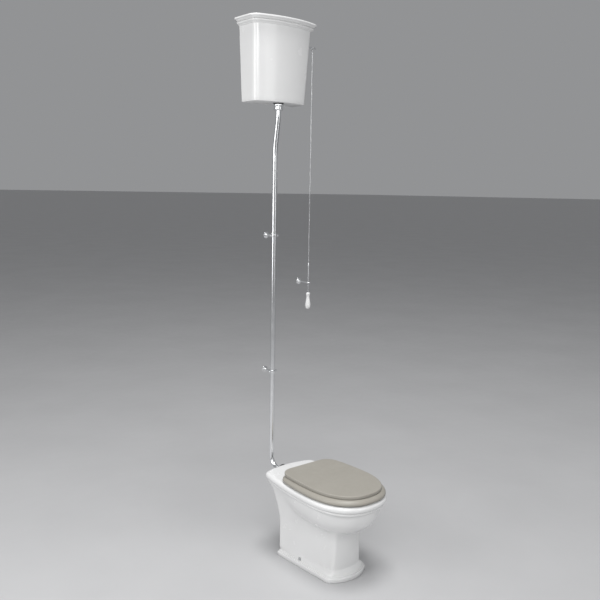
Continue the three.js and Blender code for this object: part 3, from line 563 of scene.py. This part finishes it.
def egg(x, forward, half, centre, front, back, power=2, back_power=2):
    """Distance outside an egg about (0, centre), its ends square-shouldered by their powers."""
    n = np.where(forward > centre, float(power), float(back_power))
    reach = np.where(forward > centre, front - centre, centre - back)
    across, along = np.abs(x) / half, np.abs(forward - centre) / reach
    level = np.maximum((across**n + along**n) ** (1 / n), 1e-9)
    slope = np.hypot(across ** (n - 1) / half, along ** (n - 1) / reach) * level ** (1 - n)
    return (level - 1) / np.maximum(slope, 1e-9)


def foot_outline(x, forward):
    straight = blunt(side_line(x, forward, FOOT), FOOT["back"] - forward, 8)
    return blunt(straight, bow(x, forward, FOOT["half_front"], FOOT["corner"], FOOT["front"]), 12)


def stem_outline(x, forward, z):
    narrowing = STEM_NARROWING * clip01((z - 50) / 170)
    shape = {**STEM, "half_front": STEM["half_front"] - narrowing}
    straight = blunt(side_line(x, forward, shape), STEM["back"] - forward, 10)
    return blunt(straight, bow(x, forward, STEM["half_front"], STEM["corner"], STEM["front"]), 10)


def rim_outline(x, forward):
    body = egg(x, forward, RIM["half"], RIM["centre"], RIM["front"], RIM["back"], RIM["power"])
    return blunt(body, bow(x, forward, DECK["half"], DECK["corner"], DECK["back"]), 16)


def ledge(forward):
    return LEDGE["back"] + (LEDGE["front"] - LEDGE["back"]) * smoothstep((forward - 250) / 300)


def pan_outline(x, forward, z):
    """The outside of the stem, the flare under the deck and the bowl, at one height."""
    flare = clip01((z - FLARE["start"]) / (STEM_TOP - FLARE["start"])) ** FLARE["power"]
    back = stem_outline(x, forward, z) * (1 - flare) + (rim_outline(x, forward) + ledge(forward)) * flare
    depth = clip01((STEM_TOP - z) / BOWL["depth"])
    shrink = lambda power: clip01(1 - depth**power) ** (1 / power)
    scale = shrink(BOWL["drop"])
    if scale < 0.02:
        return back
    centre = RIM["centre"]
    bowl = egg(
        x,
        forward,
        (RIM["half"] - BOWL["inset"]) * scale,
        centre,
        centre + (RIM["front"] - BOWL["inset"] - centre) * scale,
        centre - BOWL["back"] * shrink(BOWL["back_drop"]),
        BOWL["power"],
        BOWL["back_power"],
    )
    return united(back, bowl, max(BOWL["crease"] * clip01((STEM_TOP - z) / 40), 0.01))


def spokes(count, centre, corners=(), spread=5.0, extra=9):
    """Angles all round a centre, with more of them towards each corner on both sides."""
    turns = list(np.linspace(0, 2 * pi, count, endpoint=False))
    for x, forward in corners:
        for mirror in (1, -1):
            aim = atan2(forward - centre[1], mirror * x - centre[0])
            turns += [aim + radians(step) for step in np.linspace(-spread, spread, extra)]
    ordered = np.sort(np.mod(turns, 2 * pi))
    return ordered[np.append(True, np.diff(ordered) > 0.004)]


def outline(distance, z, centre, turns, reach=430):
    """The outline where a distance is zero, as points round a centre at one height."""
    across, along = np.cos(turns), np.sin(turns)
    outside = lambda r: distance(centre[0] + r * across, centre[1] + r * along) > 0
    top = np.full(len(turns), float(reach))
    found = np.zeros(len(turns), bool)
    for r in np.arange(reach, 4, -4.0):
        new = ~found & ~outside(np.full(len(turns), r))
        top[new] = r + 4
        found |= new
    bottom = top - 4
    for _ in range(26):
        half = (top + bottom) / 2
        out = outside(half)
        top, bottom = np.where(out, half, top), np.where(out, bottom, half)
    return np.column_stack(
        [
            centre[0] + bottom * across,
            at(centre[1] + bottom * along),
            np.full(len(turns), float(z)),
        ]
    )


# ---------------------------------------------------------------- pan
PAN_CENTRE = (0, 470)
BOWL_CENTRE = (0, 500)
PLINTH_TOP = 48


def pan_rings():
    """The pan's surface from the roof of the hollow under it, over the outside, down to the sump."""
    corners = [
        (FOOT["half_back"], FOOT["back"]),
        (FOOT["half_front"], FOOT["corner"]),
        (STEM["half_front"] - 4, STEM["corner"]),
        (DECK["half"], DECK["corner"]),
    ]
    turns = spokes(168, PAN_CENTRE, corners)
    ring = lambda z, distance: outline(distance, z, PAN_CENTRE, turns)
    rings = [
        ring(z, lambda x, f: stem_outline(x, f, z) + WALL_THICKNESS + 1) for z in (104, 1, 0)
    ]
    plinth = [
        (0, 1.5), (2, 0), (17, 0), (18.6, 0.6), (19.6, 2.0), (20.2, 4.6), (20.8, 5.4), (26, 5.6),
        (27.6, 6.2), (28.6, 7.6), (29.2, 9.6),
    ]  # height and how far in from the foot's outline
    cove = 29
    rings += [ring(z, lambda x, f: foot_outline(x, f) + inset) for z, inset in plinth]
    for z in (31, 34, 37, 40, 44, PLINTH_TOP):
        rise = (z - cove) / (PLINTH_TOP - cove)
        share = smoothstep(rise) * 0.62 + rise**3 * 0.38

        def hollow_sweep(x, f):
            return (foot_outline(x, f) + 9.8) * (1 - share) + stem_outline(x, f, PLINTH_TOP) * share

        rings.append(ring(z, hollow_sweep))
    heights = [52, 70, 95, 125, 150, 170, 184, 194, 201, 206, 210, 213, 216, 220, 225, 231, 238]
    heights += [246, 255, 265, 276, 288, 300, 312, 323, 332, 340, 346, 351, 354]
    rings += [ring(z, lambda x, f: pan_outline(x, f, z)) for z in heights]
    rings += rim_rings(ring)
    rings += bowl_rings(turns)
    return rings


def rim_rings(ring):
    """The moulding round the rim and the flat top that the seat lies on."""
    moulding = [
        (355, 14), (355.8, 12.4), (357, 11), (358.6, 9.8), (360.6, 8.9), (363, 8.5), (365, 8.7),
        (366.6, 9.3), (367.8, 9.9), (369, 9.7), (370.2, 8.3), (371.4, 6.2), (372.8, 4.2), (374.8, 2.2),
        (377.4, 0.8), (381, 0.05), (385, 0.1), (388.6, 0.8), (392, 2.2), (395, 4.4), (397.6, 7.4),
        (399.2, 10.8), (399.9, 14.2), (400, 24),
    ]  # height and how far in from the rim's outline
    rings = []
    for z, inset in moulding:
        fade = 3.6 * clip01((357 - z) / 2)

        def distance(x, f):
            return rim_outline(x, f) + inset - fade * (1 - smoothstep((f - 250) / 300))

        rings.append(ring(z - 400 + DECK_TOP, distance))
    return rings


def bowl_rings(turns):
    """The inside of the bowl: over the inner edge of the rim, under its lip and down to the sump."""
    levels = [
        (400, 147, 754, 390), (399.6, 144, 751, 393), (398, 141, 748, 396), (395, 139.4, 745.6, 398.4),
        (390, 139, 745, 399), (357, 139, 745, 399), (354, 140, 746, 398), (352.6, 143, 749, 396),
        (352.4, 150, 756, 392), (351, 155, 761, 391), (345, 157.6, 763, 393), (325, 155, 760, 396),
        (300, 148, 752, 401), (276, 133, 733, 407), (252, 112, 706, 414), (232, 92, 673, 422),
        (212, 78, 637, 430), (194, 68, 612, 438), (180, 61, 600, 443), (166, 55, 588, 448),
        (152, 49, 574, 453), (140, 42, 560, 458), (132, 34, 549, 465), (128, 24, 535, 476),
    ]  # height, half-width, front and back
    rings = []
    for z, half, front, back in levels:
        centre = (front + back) / 2 + 10
        rings.append(
            outline(
                lambda x, f: egg(x, f, half, centre, front, back, 2.1),
                z - 400 + DECK_TOP,
                BOWL_CENTRE,
                np.arctan2(np.sin(turns), np.cos(turns)),
            )
        )
    return rings


def trap_mouth():
    """The way out of the sump to the trap, under the water."""
    path = [(0, at(f), z) for f, z in [(500, 156), (474, 156), (452, 157), (436, 160), (424, 168)]]
    return swept(path, 24, 40)


def make_pan(glaze, water):
    outlet = (middle("pan", "x"), at(OUTLET["forward"]), OUTLET["z"])
    bore, radius = OUTLET["bore"], OUTLET["radius"]
    spigot = turned(eased([(bore, 60), (bore, 0), (radius, 0), (radius, 86)], 2.5), 64, outlet, "-y")
    lip = [(radius, 5), (radius + 2, 6), (radius + 2, 14), (radius, 16)]
    collar = turned(eased(lip, 1), 64, outlet, "-y")
    inlet = (0, at(160), middle("flush_cone", "z"))
    boss = turned(eased([(19, 30), (19, 0), (27, 0), (27, 40), (34, 62)], 3), 48, inlet, "-y")
    bolts = [
        turned([(0, 0), (7.5, 0), (7.5, 40), (0, 40)], 32, (side * HINGE_X, at(HINGE_FORWARD), 368))
        for side in (1, -1)
    ]
    seats = []
    for side, word, along in ((1, "right", "x"), (-1, "left", "-x")):
        screw = f"foot_screw_{word}"
        place = (side * 60, middle(screw, "y"), middle(screw, "z"))
        seats.append(turned([(0, 0), (4.5, 0), (4.5, 51), (9.5, 51), (9.5, 90), (0, 90)], 40, place, along))
    stand_in("pan", "ceramic", [loft(pan_rings())], glaze, cuts=[*bolts, *seats, trap_mouth()], sharp=50)
    make_piece("pan_spigots", [spigot, collar, boss], glaze, "pan_and_cistern")
    turns = spokes(96, BOWL_CENTRE)
    pool = [
        outline(lambda x, f: egg(x, f, 66 - e, 540, 617 - e, 440 + e, 2.1), z, BOWL_CENTRE, turns)
        for z, e in ((183, 12), (186, 5), (186.6, 2.5), (187, 0.3), (187.0, 30))
    ]
    make_piece("pan_water", [loft(pool)], water, "pan_and_cistern")


# ---------------------------------------------------------------- seat and lid
SEAT_CENTRE = (0, 560)
NOTCH = {"inner": 61, "outer": 94, "depth": 30}
LUG = {"inner": 86.5, "outer": 92.5, "radius": 8}
PIN_BORE = {"start": 46, "length": 60, "radius": 3.5}


def seat_outline(shape):
    """An egg with a straight back and rounded back corners."""
    back = shape["centre"] - shape["reach"]

    def distance(x, forward):
        body = egg(
            x, forward, shape["half"], shape["centre"], shape["front"], back, shape["power"],
            shape["back_power"],
        )
        return blunt(body, shape["back"] - forward, shape["shoulder"])

    return distance


def seat_turns():
    return spokes(180, SEAT_CENTRE, [(RING["half"] - 46, RING["back"] + 8)], 12, 13)


def make_seat_ring(paint):
    bottom = low("seat_ring", "z")
    turns = seat_turns()
    shape = seat_outline(RING)
    outside = [
        (0, 3.2), (0.5, 1.7), (1.6, 0.6), (3.2, 0.05), (6, 0), (8.6, 0.3), (11.2, 1.4), (13.6, 3.2),
        (15.8, 5.4), (17.9, 8.2), (19.8, 11.4), (21.3, 14.6), (22.4, 18.2), (23, 22.5), (23, 30),
    ]  # height over the bottom and how far in from the outline
    rings = [
        outline(lambda x, f: shape(x, f) + inset, bottom + h, SEAT_CENTRE, turns) for h, inset in outside
    ]
    inside = [
        (23, 14), (22.9, 9), (22.2, 5.5), (20.6, 2.7), (18.4, 1), (16, 0.2), (12, 0), (3, 0), (1, 0.8),
        (0, 3),
    ]  # height over the bottom and how far out from the opening
    opening = lambda x, f: egg(x, f, RING_HOLE["half"], 575, RING_HOLE["front"], RING_HOLE["back"], 2.2)
    rings += [
        outline(lambda x, f: opening(x, f) - out, bottom + h, SEAT_CENTRE, turns) for h, out in inside
    ]
    cuts = []
    for side in (1, -1):
        centre = side * (NOTCH["inner"] + NOTCH["outer"]) / 2
        width = NOTCH["outer"] - NOTCH["inner"]
        cuts.append(box_shape((width, NOTCH["depth"] * 2, 60), (centre, at(RING["back"]), bottom + 12), 3))
        length, radius = PIN_BORE["length"], PIN_BORE["radius"]
        start = PIN_BORE["start"] if side > 0 else -PIN_BORE["start"] - length
        bore = [(0, 0), (radius, 0), (radius, length), (0, length)]
        cuts.append(turned(bore, 32, (start, at(HINGE_FORWARD), HINGE_Z), "x"))
    stand_in("seat_ring", "painted", [loft(rings, closed=True)], paint, "seat", cuts)


def make_seat_lid(paint, rubber):
    bottom, top = high("seat_ring", "z") + 1.5, high("seat_lid", "z")
    turns = seat_turns()
    shape = seat_outline(LID)
    thick = top - bottom
    section = [
        (6, 40), (6, 26), (5.4, 22.6), (3.6, 20.8), (1, 19.6), (0, 18.4), (0, 2.6), (0.3, 1.2), (1.1, 0.3),
        (2.6, 0), (thick - 3.6, 0), (thick - 2.4, 0.25), (thick - 1.4, 0.9), (thick - 0.7, 1.9),
        (thick - 0.3, 3.2), (thick - 0.15, 5.5), (thick - 0.05, 20), (thick, 70),
    ]  # height over the bottom and how far in from the outline, from the underside to the top
    rings = [
        outline(lambda x, f: shape(x, f) + inset, bottom + h, SEAT_CENTRE, turns) for h, inset in section
    ]
    shapes = [loft(rings)]
    for side in (1, -1):
        lug_middle = side * (LUG["inner"] + LUG["outer"]) / 2
        width = LUG["outer"] - LUG["inner"]
        bore, radius = PIN_BORE["radius"], LUG["radius"]
        wall = [(bore, -width / 2), (radius, -width / 2), (radius, width / 2), (bore, width / 2)]
        wall = eased(wall, 0.8, True)
        shapes.append(turned(wall, 40, (lug_middle, at(HINGE_FORWARD), HINGE_Z), "x", closed=True))
        height = bottom - HINGE_Z
        centre = (lug_middle, at(HINGE_FORWARD), HINGE_Z + 4 + height / 2)
        shapes.append(box_shape((width, 12, height), centre, 0.8))
    stand_in("seat_lid", "painted", shapes, paint, "lid")
    for end, across, forward in (("front", 98, 690), ("back", 118, 430)):
        for word, side in (("left", -1), ("right", 1)):
            place = (side * across, at(forward), bottom - 1.1)
            pad = turned(eased([(0, 0), (6.5, 0), (7, 8), (0, 8)], 1), 32, place)
            make_piece(f"lid_buffer_{end}_{word}", [pad], rubber, "lid")


def make_ring_buffers(rubber):
    """Round rubber pads under the ring."""
    for end in ("front", "back"):
        for side in ("left", "right"):
            node = f"ring_buffer_{end}_{side}"
            height = high(node, "z") - low(node, "z")
            profile = eased([(0, 0), (7, 0), (7.9, 1), (7.9, height), (0, height)], 0.5)
            place = (middle(node, "x"), middle(node, "y"), low(node, "z"))
            stand_in(node, "pad", [turned(profile, 32, place)], rubber, "seat")


def make_hinges(chrome):
    for side, word in ((1, "right"), (-1, "left")):
        place = (side * HINGE_X, at(HINGE_FORWARD), DECK_TOP)
        rise = HINGE_Z - DECK_TOP
        disc = eased([(4.3, 0.4), (13.4, 0.4), (13.4, 2.2), (10.5, 3.6), (4.3, 3.6)], 0.7, True)
        flange = turned(disc, 48, place, closed=True)
        column = box_shape((13, 12, rise - 4), (place[0], place[1], DECK_TOP + 2.6 + (rise - 4) / 2), 1.6)
        bore = PIN_BORE["radius"]
        sleeve = eased([(bore, -7), (7.4, -7), (7.4, 7), (bore, 7)], 0.9, True)
        barrel = turned(sleeve, 40, (place[0], place[1], HINGE_Z), "x", closed=True)
        stand_in(f"hinge_post_{word}", "chromed", [flange, column, barrel], chrome)
        node = f"hinge_pin_{word}"
        length = high(node, "x") - low(node, "x")
        bar = eased([(0, 0), (2.95, 0), (2.95, length), (0, length)], 0.6)
        pin = turned(bar, 32, (low(node, "x"), at(HINGE_FORWARD), HINGE_Z), "x")
        stand_in(node, "chromed", [pin], chrome)


# ---------------------------------------------------------------- flush pipe
def make_flush_pipe(chrome, rubber):
    top, foot_z = high("flush_pipe", "z"), low("flush_pipe", "z") + PIPE_RADIUS
    elbow = [
        (PIPE_FORWARD + ELBOW + ELBOW * cos(t), foot_z + ELBOW + ELBOW * sin(t))
        for t in np.linspace(1.5 * pi, pi, 25)
    ]
    bends = [(PIPE_FORWARD, 1800), (PIPE_FORWARD, 1952), (TAIL_FORWARD, 2100), (TAIL_FORWARD, top)]
    offset = eased(bends, 34, False, 12)
    straight = [(PIPE_FORWARD, z) for z in np.linspace(500, 1700, 13)]
    route = [(WALL - low("flush_pipe", "y"), foot_z), *elbow, *straight, *offset]
    path = [(0, at(forward), z) for forward, z in route]
    stand_in("flush_pipe", "chromed", [swept(path, PIPE_RADIUS - 0.02, 48, 11)], chrome)
    sleeve = [
        (13.4, 0), (20, 2), (31.2, 12), (31.2, 28), (27.5, 28), (27.5, 17), (18.6, 17), (18.6, 34),
        (13.4, 34),
    ]
    place = (0, high("flush_cone", "y"), foot_z)
    cone = turned(eased(sleeve, 1.2, True), 56, place, "-y", closed=True)
    stand_in("flush_cone", "rubber", [cone], rubber)


def rose_profile(reach, stem, radius):
    """A wall rose with a rolled rim and a hollow sweep up to its stem."""
    return [
        (0, 0), (radius - 0.4, 0), (radius, 0.5), (radius, 2.0), (radius - 0.6, 2.9), (radius - 2.2, 3.6),
        (radius - 3.0, 4.0), (radius - 5.5, 4.9), (stem + 3.2, 6.6), (stem + 1.2, 8.6), (stem + 0.2, 11),
        (stem, 14), (stem, reach - 6), (stem + 1.0, reach - 5), (stem + 1.2, reach - 2.5),
        (stem + 0.4, reach - 0.4), (0, reach),
    ]


def make_brackets(chrome):
    for word in ("upper", "lower"):
        height = middle(f"pipe_clamp_{word}", "z")
        node = f"pipe_rose_{word}"
        reach = high(node, "y") - low(node, "y")
        rose = turned(rose_profile(reach, 4, 15.6), 56, (0, WALL, height), "-y")
        stand_in(node, "chromed", [rose], chrome)
        inner, outer, half = PIPE_RADIUS + 0.4, PIPE_RADIUS + 3.4, 6.5
        place = (0, at(PIPE_FORWARD), height)
        section = [(inner, -half), (outer, -half), (outer, half), (inner, half)]
        band = turned(eased(section, 1.1, True), 56, place, closed=True)
        ears = [
            box_shape((8, 8, 13), (side * (outer + 3.9), place[1], height), 1.4) for side in (1, -1)
        ]
        stand_in(f"pipe_clamp_{word}", "chromed", [band, *ears], chrome)


def make_tail_nuts(chrome, rubber):
    """The cap nut on the pipe, the fluted back nut over it and the washer under the cistern."""
    place = (0, at(TAIL_FORWARD), 0)
    bottom, top = low("pipe_nut", "z"), high("pipe_nut", "z")
    cap = [
        (13.5, bottom), (17.5, bottom), (19.2, bottom + 0.8), (20.5, bottom + 3.4), (22.4, bottom + 4.4),
        (22.9, bottom + 5.6), (22.9, top - 3.2), (22.2, top - 1.6), (20.6, top), (18, top), (18, top - 6),
        (13.5, top - 9),
    ]
    stand_in("pipe_nut", "chromed", [turned(eased(cap, 0.6, True), 72, place, closed=True)], chrome)
    bottom, top = low("tail_nut", "z"), high("tail_nut", "z")
    turns = np.linspace(0, 2 * pi, 144, endpoint=False)
    fluted = 24.6 - 0.9 * (np.cos(turns * 18) > 0.55)
    bore = np.full(len(turns), 18.0)
    levels = [
        (bottom, fluted - 1.2), (bottom + 1.2, fluted), (top - 1.2, fluted), (top, fluted - 1.2),
        (top, bore), (bottom, bore),
    ]  # height and radius all round
    rings = [
        np.column_stack([r * np.cos(turns), place[1] + r * np.sin(turns), np.full(len(turns), z)])
        for z, r in levels
    ]
    stand_in("tail_nut", "chromed", [loft(rings, closed=True)], chrome)
    bottom, top = low("tail_washer", "z"), high("tail_washer", "z")
    ring = eased([(18.1, bottom), (24.9, bottom), (24.9, top), (18.1, top)], 0.8, True)
    stand_in("tail_washer", "rubber", [turned(ring, 56, place, closed=True)], rubber)


# ---------------------------------------------------------------- cistern
CISTERN_CENTRE = (0, 70)
CISTERN_BOTTOM = {"half": 152, "side": 105, "front": 140}
CISTERN_TOP = {"half": 168, "side": 125, "front": 160}
CORNICE_START = 2507
CISTERN_CORNER = 22
LID_CORNER = 34
CISTERN_THICKNESS = 9


def cistern_plan(z):
    """Half-width, side depth and front depth of the cistern's body at a height."""
    bottom = low("cistern_body", "z")
    share = min(max((z - bottom) / (CORNICE_START - bottom), 0), 1)
    return [CISTERN_BOTTOM[k] * (1 - share) + CISTERN_TOP[k] * share for k in ("half", "side", "front")]


def cistern_turns():
    front = [(CISTERN_TOP["half"] * 0.985, CISTERN_TOP["side"] * 0.97)]
    back = [(CISTERN_TOP["half"], 1)]
    turns = [spokes(150, CISTERN_CENTRE, front, 7, 17), spokes(4, CISTERN_CENTRE, back, 1.2, 5)]
    turns = np.sort(np.mod(np.concatenate(turns), 2 * pi))
    return turns[np.append(True, np.diff(turns) > 0.003)]


def cistern_ring(z, grow, turns, shoulder=CISTERN_CORNER, wall=0.0, level=None):
    """One outline of the cistern: grown outwards for its mouldings, or in by a wall for its inside."""
    half, side, front = cistern_plan(z if level is None else level)
    half, side, front = half + grow, side + grow * 0.66, front + grow * 0.86

    def distance(x, f):
        square = blunt(np.abs(x) - half, -f, 1.5)
        return np.maximum(blunt(square, bow(x, f, half, side, front), shoulder) + wall, wall - f)

    return outline(distance, z, CISTERN_CENTRE, turns)


def make_cistern_body(glaze):
    bottom, top = low("cistern_body", "z"), high("cistern_body", "z")
    turns = cistern_turns()
    rings = [cistern_ring(bottom + h, -e, turns) for h, e in ((0, 2.6), (0.5, 1.2), (1.4, 0.3), (2.6, 0))]
    rings += [cistern_ring(z, 0, turns) for z in np.linspace(bottom + 20, CORNICE_START - 4, 9)]
    cornice = [
        (-2, 0.1), (-0.8, 0.6), (0.2, 1.8), (0.9, 3.4), (1.3, 4.8), (2.4, 5.1), (3.4, 5.2), (4.0, 5.8),
        (4.5, 7.4), (5.2, 9.2), (6.3, 10.9), (7.8, 12.4), (9.6, 13.4), (11.6, 13.9), (13.4, 13.8),
        (14.8, 12.9), (15.6, 11.4),
    ]  # height over the start of the cornice and how far it stands out
    rings += [cistern_ring(CORNICE_START + h, grow, turns) for h, grow in cornice]
    inside = [
        (top, -2), (top - 1, 0), (top - 60, 0), (bottom + 24, 0), (bottom + 13, 4), (bottom + 11, 12),
    ]  # height and how much thicker the wall is there
    rings += [cistern_ring(z, 0, turns, wall=CISTERN_THICKNESS + more) for z, more in inside]
    place = (165, at(LEVER_FORWARD), middle("lever_escutcheon", "z"))
    lever_slot = box_shape((60, 13, 39), place, 2)
    stand_in("cistern_body", "ceramic", [loft(rings)], glaze, cuts=[lever_slot])


def make_cistern_lid(glaze):
    top = high("cistern_lid", "z")
    start = high("cistern_body", "z") + 1
    turns = cistern_turns()
    level = CORNICE_START
    lip = [
        (start + 7, 26), (start + 7, 21), (start - 8.6, 20), (start - 9, 19), (start - 9, 13),
        (start - 8.4, 12.2), (start, 12),
    ]  # height and inset of the recess and of the lip that sits inside the cistern
    edge = [
        (start, 12.2), (start + 0.5, 13.2), (start + 1.4, 15.2), (start + 2.8, 17.6), (start + 4.4, 19.6),
        (start + 6, 21), (start + 7, 21.6), (start + 7.5, 22.2), (start + 7.8, 24), (start + 8.3, 26),
        (start + 9.2, 27.3), (start + 10.6, 27.9), (top - 5.6, 28), (top - 3.8, 27.8), (top - 2.3, 27.1),
        (top - 1.2, 25.9), (top - 0.5, 24.2), (top - 0.15, 21.5), (top, 16),
    ]  # height and how far the edge stands out
    rings = [cistern_ring(z, 0, turns, wall=inset, level=level) for z, inset in lip]
    widest = max(grow for z, grow in edge)
    for z, grow in edge:
        rings.append(cistern_ring(z, grow, turns, LID_CORNER - (widest - grow) / 2, level=level))
    stand_in("cistern_lid", "ceramic", [loft(rings)], glaze, "cistern_cover")


# ---------------------------------------------------------------- lever, chain and pull
def make_lever(chrome):
    inner, tip = low("lever", "x"), high("lever", "x")
    pivot = middle("lever_pin", "x")
    y = at(LEVER_FORWARD)
    z = middle("lever_pin", "z")
    half_heights = [
        (inner, 4.2), (inner + 2, 5.4), (pivot - 14, 5.5), (pivot + 14, 5.5), (tip - 34, 5.4),
        (tip - 20, 5.3), (tip - 6, 5.0), (tip - 2, 3.8), (tip, 1.6),
    ]  # place along the lever and half its height there
    half_width, ease = 2.5, 0.9
    rings = []
    for x, half in half_heights:
        ring = []
        for quarter in range(4):
            cy = (half_width - ease) * (1 if quarter in (0, 3) else -1)
            cz = (half - ease) * (1 if quarter in (0, 1) else -1)
            for t in np.linspace(0, pi / 2, 4):
                turn = quarter * pi / 2 + t
                ring.append((x, y + cy + ease * cos(turn), z + cz + ease * sin(turn)))
        rings.append(ring)
    hub = eased([(4, -4), (9, -4), (9, 4), (4, 4)], 0.9, True)
    boss = turned(hub, 48, (pivot, y, z), "y", closed=True)
    rod_x = middle("siphon_lift_rod", "x")
    pad = box_shape((30, 9, 8), (rod_x - 5, y, z), 1.4)
    cuts = [
        box_shape((20, 3.8, 30), (rod_x - 5, y, z), 0.5),
        box_shape((15, 20, 5.6), (CHAIN_X + 3.5, y, z), 2.2),
    ]
    stand_in("lever", "chromed", [loft(rings), boss, pad], chrome, "lever", cuts)


def chain_link(place, length, width, wire, turn):
    """One oval link, its long axis upright, turned about the chain."""
    straight = length / 2 - width / 2
    path = []
    for t in np.linspace(0, pi, 7):
        path.append((width / 2 * cos(t), 0, straight + width / 2 * sin(t)))
    for t in np.linspace(pi, 2 * pi, 7):
        path.append((width / 2 * cos(t), 0, -straight + width / 2 * sin(t)))
    points, faces = swept(path, wire / 2, 8, closed=True)
    spin = np.array(Matrix.Rotation(turn, 3, "Z"))
    return points @ spin.T + np.array(place), faces


def make_chain(chrome):
    top, bottom = high("pull_chain", "z"), low("pull_chain", "z")
    wire, width, length = 1.45, 2.95, 9.0
    usual_pitch = length - 1.2 * wire
    count = round((top - bottom - length) / usual_pitch)
    pitch = (top - bottom - length) / count
    links = []
    for i in range(count + 1):
        place = (CHAIN_X, at(LEVER_FORWARD), bottom + length / 2 + i * pitch)
        links.append(chain_link(place, length, width, wire, pi / 4 + pi / 2 * (i % 2)))
    stand_in("pull_chain", "links", links, chrome, "pull", sharp=60)


def make_hook(chrome):
    """The fork pinned through the lever, with an eye below that takes the chain's first link."""
    y, z = at(LEVER_FORWARD), middle("lever_pin", "z")
    shapes = [box_shape((6, 1.6, 13), (CHAIN_X, y + side * 3.8, z - 4.4), 0.7) for side in (1, -1)]
    shapes.append(box_shape((6, 9.2, 2.2), (CHAIN_X, y, z - 10), 0.8))
    pin = eased([(0, -4.2), (1.8, -4.2), (1.8, 4.2), (0, 4.2)], 0.4)
    shapes.append(turned(pin, 24, (CHAIN_X, y, z), "y"))
    stem_low = low("chain_hook", "z")
    stem = eased([(0, stem_low + 3.4), (1.0, stem_low + 3.4), (1.4, z - 11), (0, z - 10)], 0.4)
    shapes.append(turned(stem, 24, (CHAIN_X, y, 0)))
    eye = [
        (CHAIN_X, y + 1.3 * cos(t), stem_low + 2.0 + 1.4 * sin(t))
        for t in np.linspace(0, 2 * pi, 16, endpoint=False)
    ]
    shapes.append(swept(eye, 0.5, 10, closed=True))
    stand_in("chain_hook", "chromed", shapes, chrome, "pull")


def make_pull(chrome, glaze):
    y = at(LEVER_FORWARD)
    bottom, top = low("pull_rod", "z"), high("pull_rod", "z")
    rod = [
        (0, bottom), (3, bottom), (3, top - 22), (3.6, top - 20.6), (4.6, top - 19), (4.9, top - 17.4),
        (4.4, top - 15.8), (3.5, top - 14.6), (3.3, top - 13.6), (4.2, top - 12.2), (4.8, top - 10.4),
        (4.5, top - 8.2), (3.4, top - 5.6), (2.1, top - 3.4), (1.3, top - 1.2), (1.0, top - 0.2), (0, top),
    ]
    stand_in("pull_rod", "chromed", [turned(rod, 32, (CHAIN_X, y, 0))], chrome, "pull")
    bottom, top = low("pull_handle", "z"), high("pull_handle", "z")
    grip = [
        (0, 0), (3.5, 0.15), (6.4, 0.8), (9.0, 2.6), (11.2, 5.6), (12.9, 9.6), (13.8, 14), (14.0, 18.4),
        (13.8, 23), (13.0, 29), (12.0, 35.5), (10.9, 42), (9.8, 49), (8.8, 56), (8.15, 61), (7.9, 64.4),
        (8.1, 66.6), (8.9, 68.6), (9.0, 69.6), (8.5, 70.6), (8.7, 71.8), (9.8, 73.6), (10.4, 76),
        (10.3, 78.4), (9.4, 81), (7.7, 83.4), (5.6, 85.1), (4.4, 85.7), (0, 86),
    ]
    place = (CHAIN_X, y, bottom)
    scale = (top - bottom) / 86
    profile = [(r, h * scale) for r, h in grip]
    stand_in("pull_handle", "ceramic", [turned(profile, 56, place)], glaze, "pull", sharp=60)
    collar = eased([(3.1, 0), (5.6, 0), (5.0, 1.4), (3.1, 1.9)], 0.4, True)
    cap = turned(collar, 40, (CHAIN_X, y, top + 0.05), closed=True)
    make_piece("pull_handle_cap", [cap], chrome, "pull")


def make_chain_guide(chrome):
    z = middle("guide_eye", "z")
    reach = high("guide_rose", "y") - low("guide_rose", "y")
    rose = turned(rose_profile(reach, 3.2, 15.6), 56, (CHAIN_X, WALL, z), "-y")
    stand_in("guide_rose", "chromed", [rose], chrome)
    ring = [(10 + 1.4 * cos(t), 2.9 * sin(t)) for t in np.linspace(0, 2 * pi, 14, endpoint=False)]
    eye = turned(ring, 56, (CHAIN_X, at(LEVER_FORWARD), z), closed=True)
    stand_in("guide_eye", "chromed", [eye], chrome)


# ---------------------------------------------------------------- carried-over CAD nodes
def finish_cad_nodes(finishes):
    """Gives every CAD node that still shows the procedural material of its record slot."""
    for part in frame["record"]["subparts"]:
        node = frame["nodes"][part["node"]]
        node.data.materials.clear()
        node.data.materials.append(finishes[part["material_slot"]])


make_camera()
make_lights()
make_floor()

finishes = {
    "glaze": glaze_material(),
    "seat_paint": seat_material(),
    "chrome": chrome_material(),
    "steel": steel_material(),
    "brass": brass_material(),
    "rubber": rubber_material(),
    "white_plastic": plastic_material(),
}
chrome, glaze, rubber = finishes["chrome"], finishes["glaze"], finishes["rubber"]

make_pan(glaze, water_material())
make_seat_ring(finishes["seat_paint"])
make_seat_lid(finishes["seat_paint"], rubber)
make_ring_buffers(rubber)
make_hinges(chrome)
make_flush_pipe(chrome, rubber)
make_brackets(chrome)
make_tail_nuts(chrome, rubber)
make_cistern_body(glaze)
make_cistern_lid(glaze)
make_lever(chrome)
make_hook(chrome)
make_chain(chrome)
make_pull(chrome, glaze)
make_chain_guide(chrome)
finish_cad_nodes(finishes)
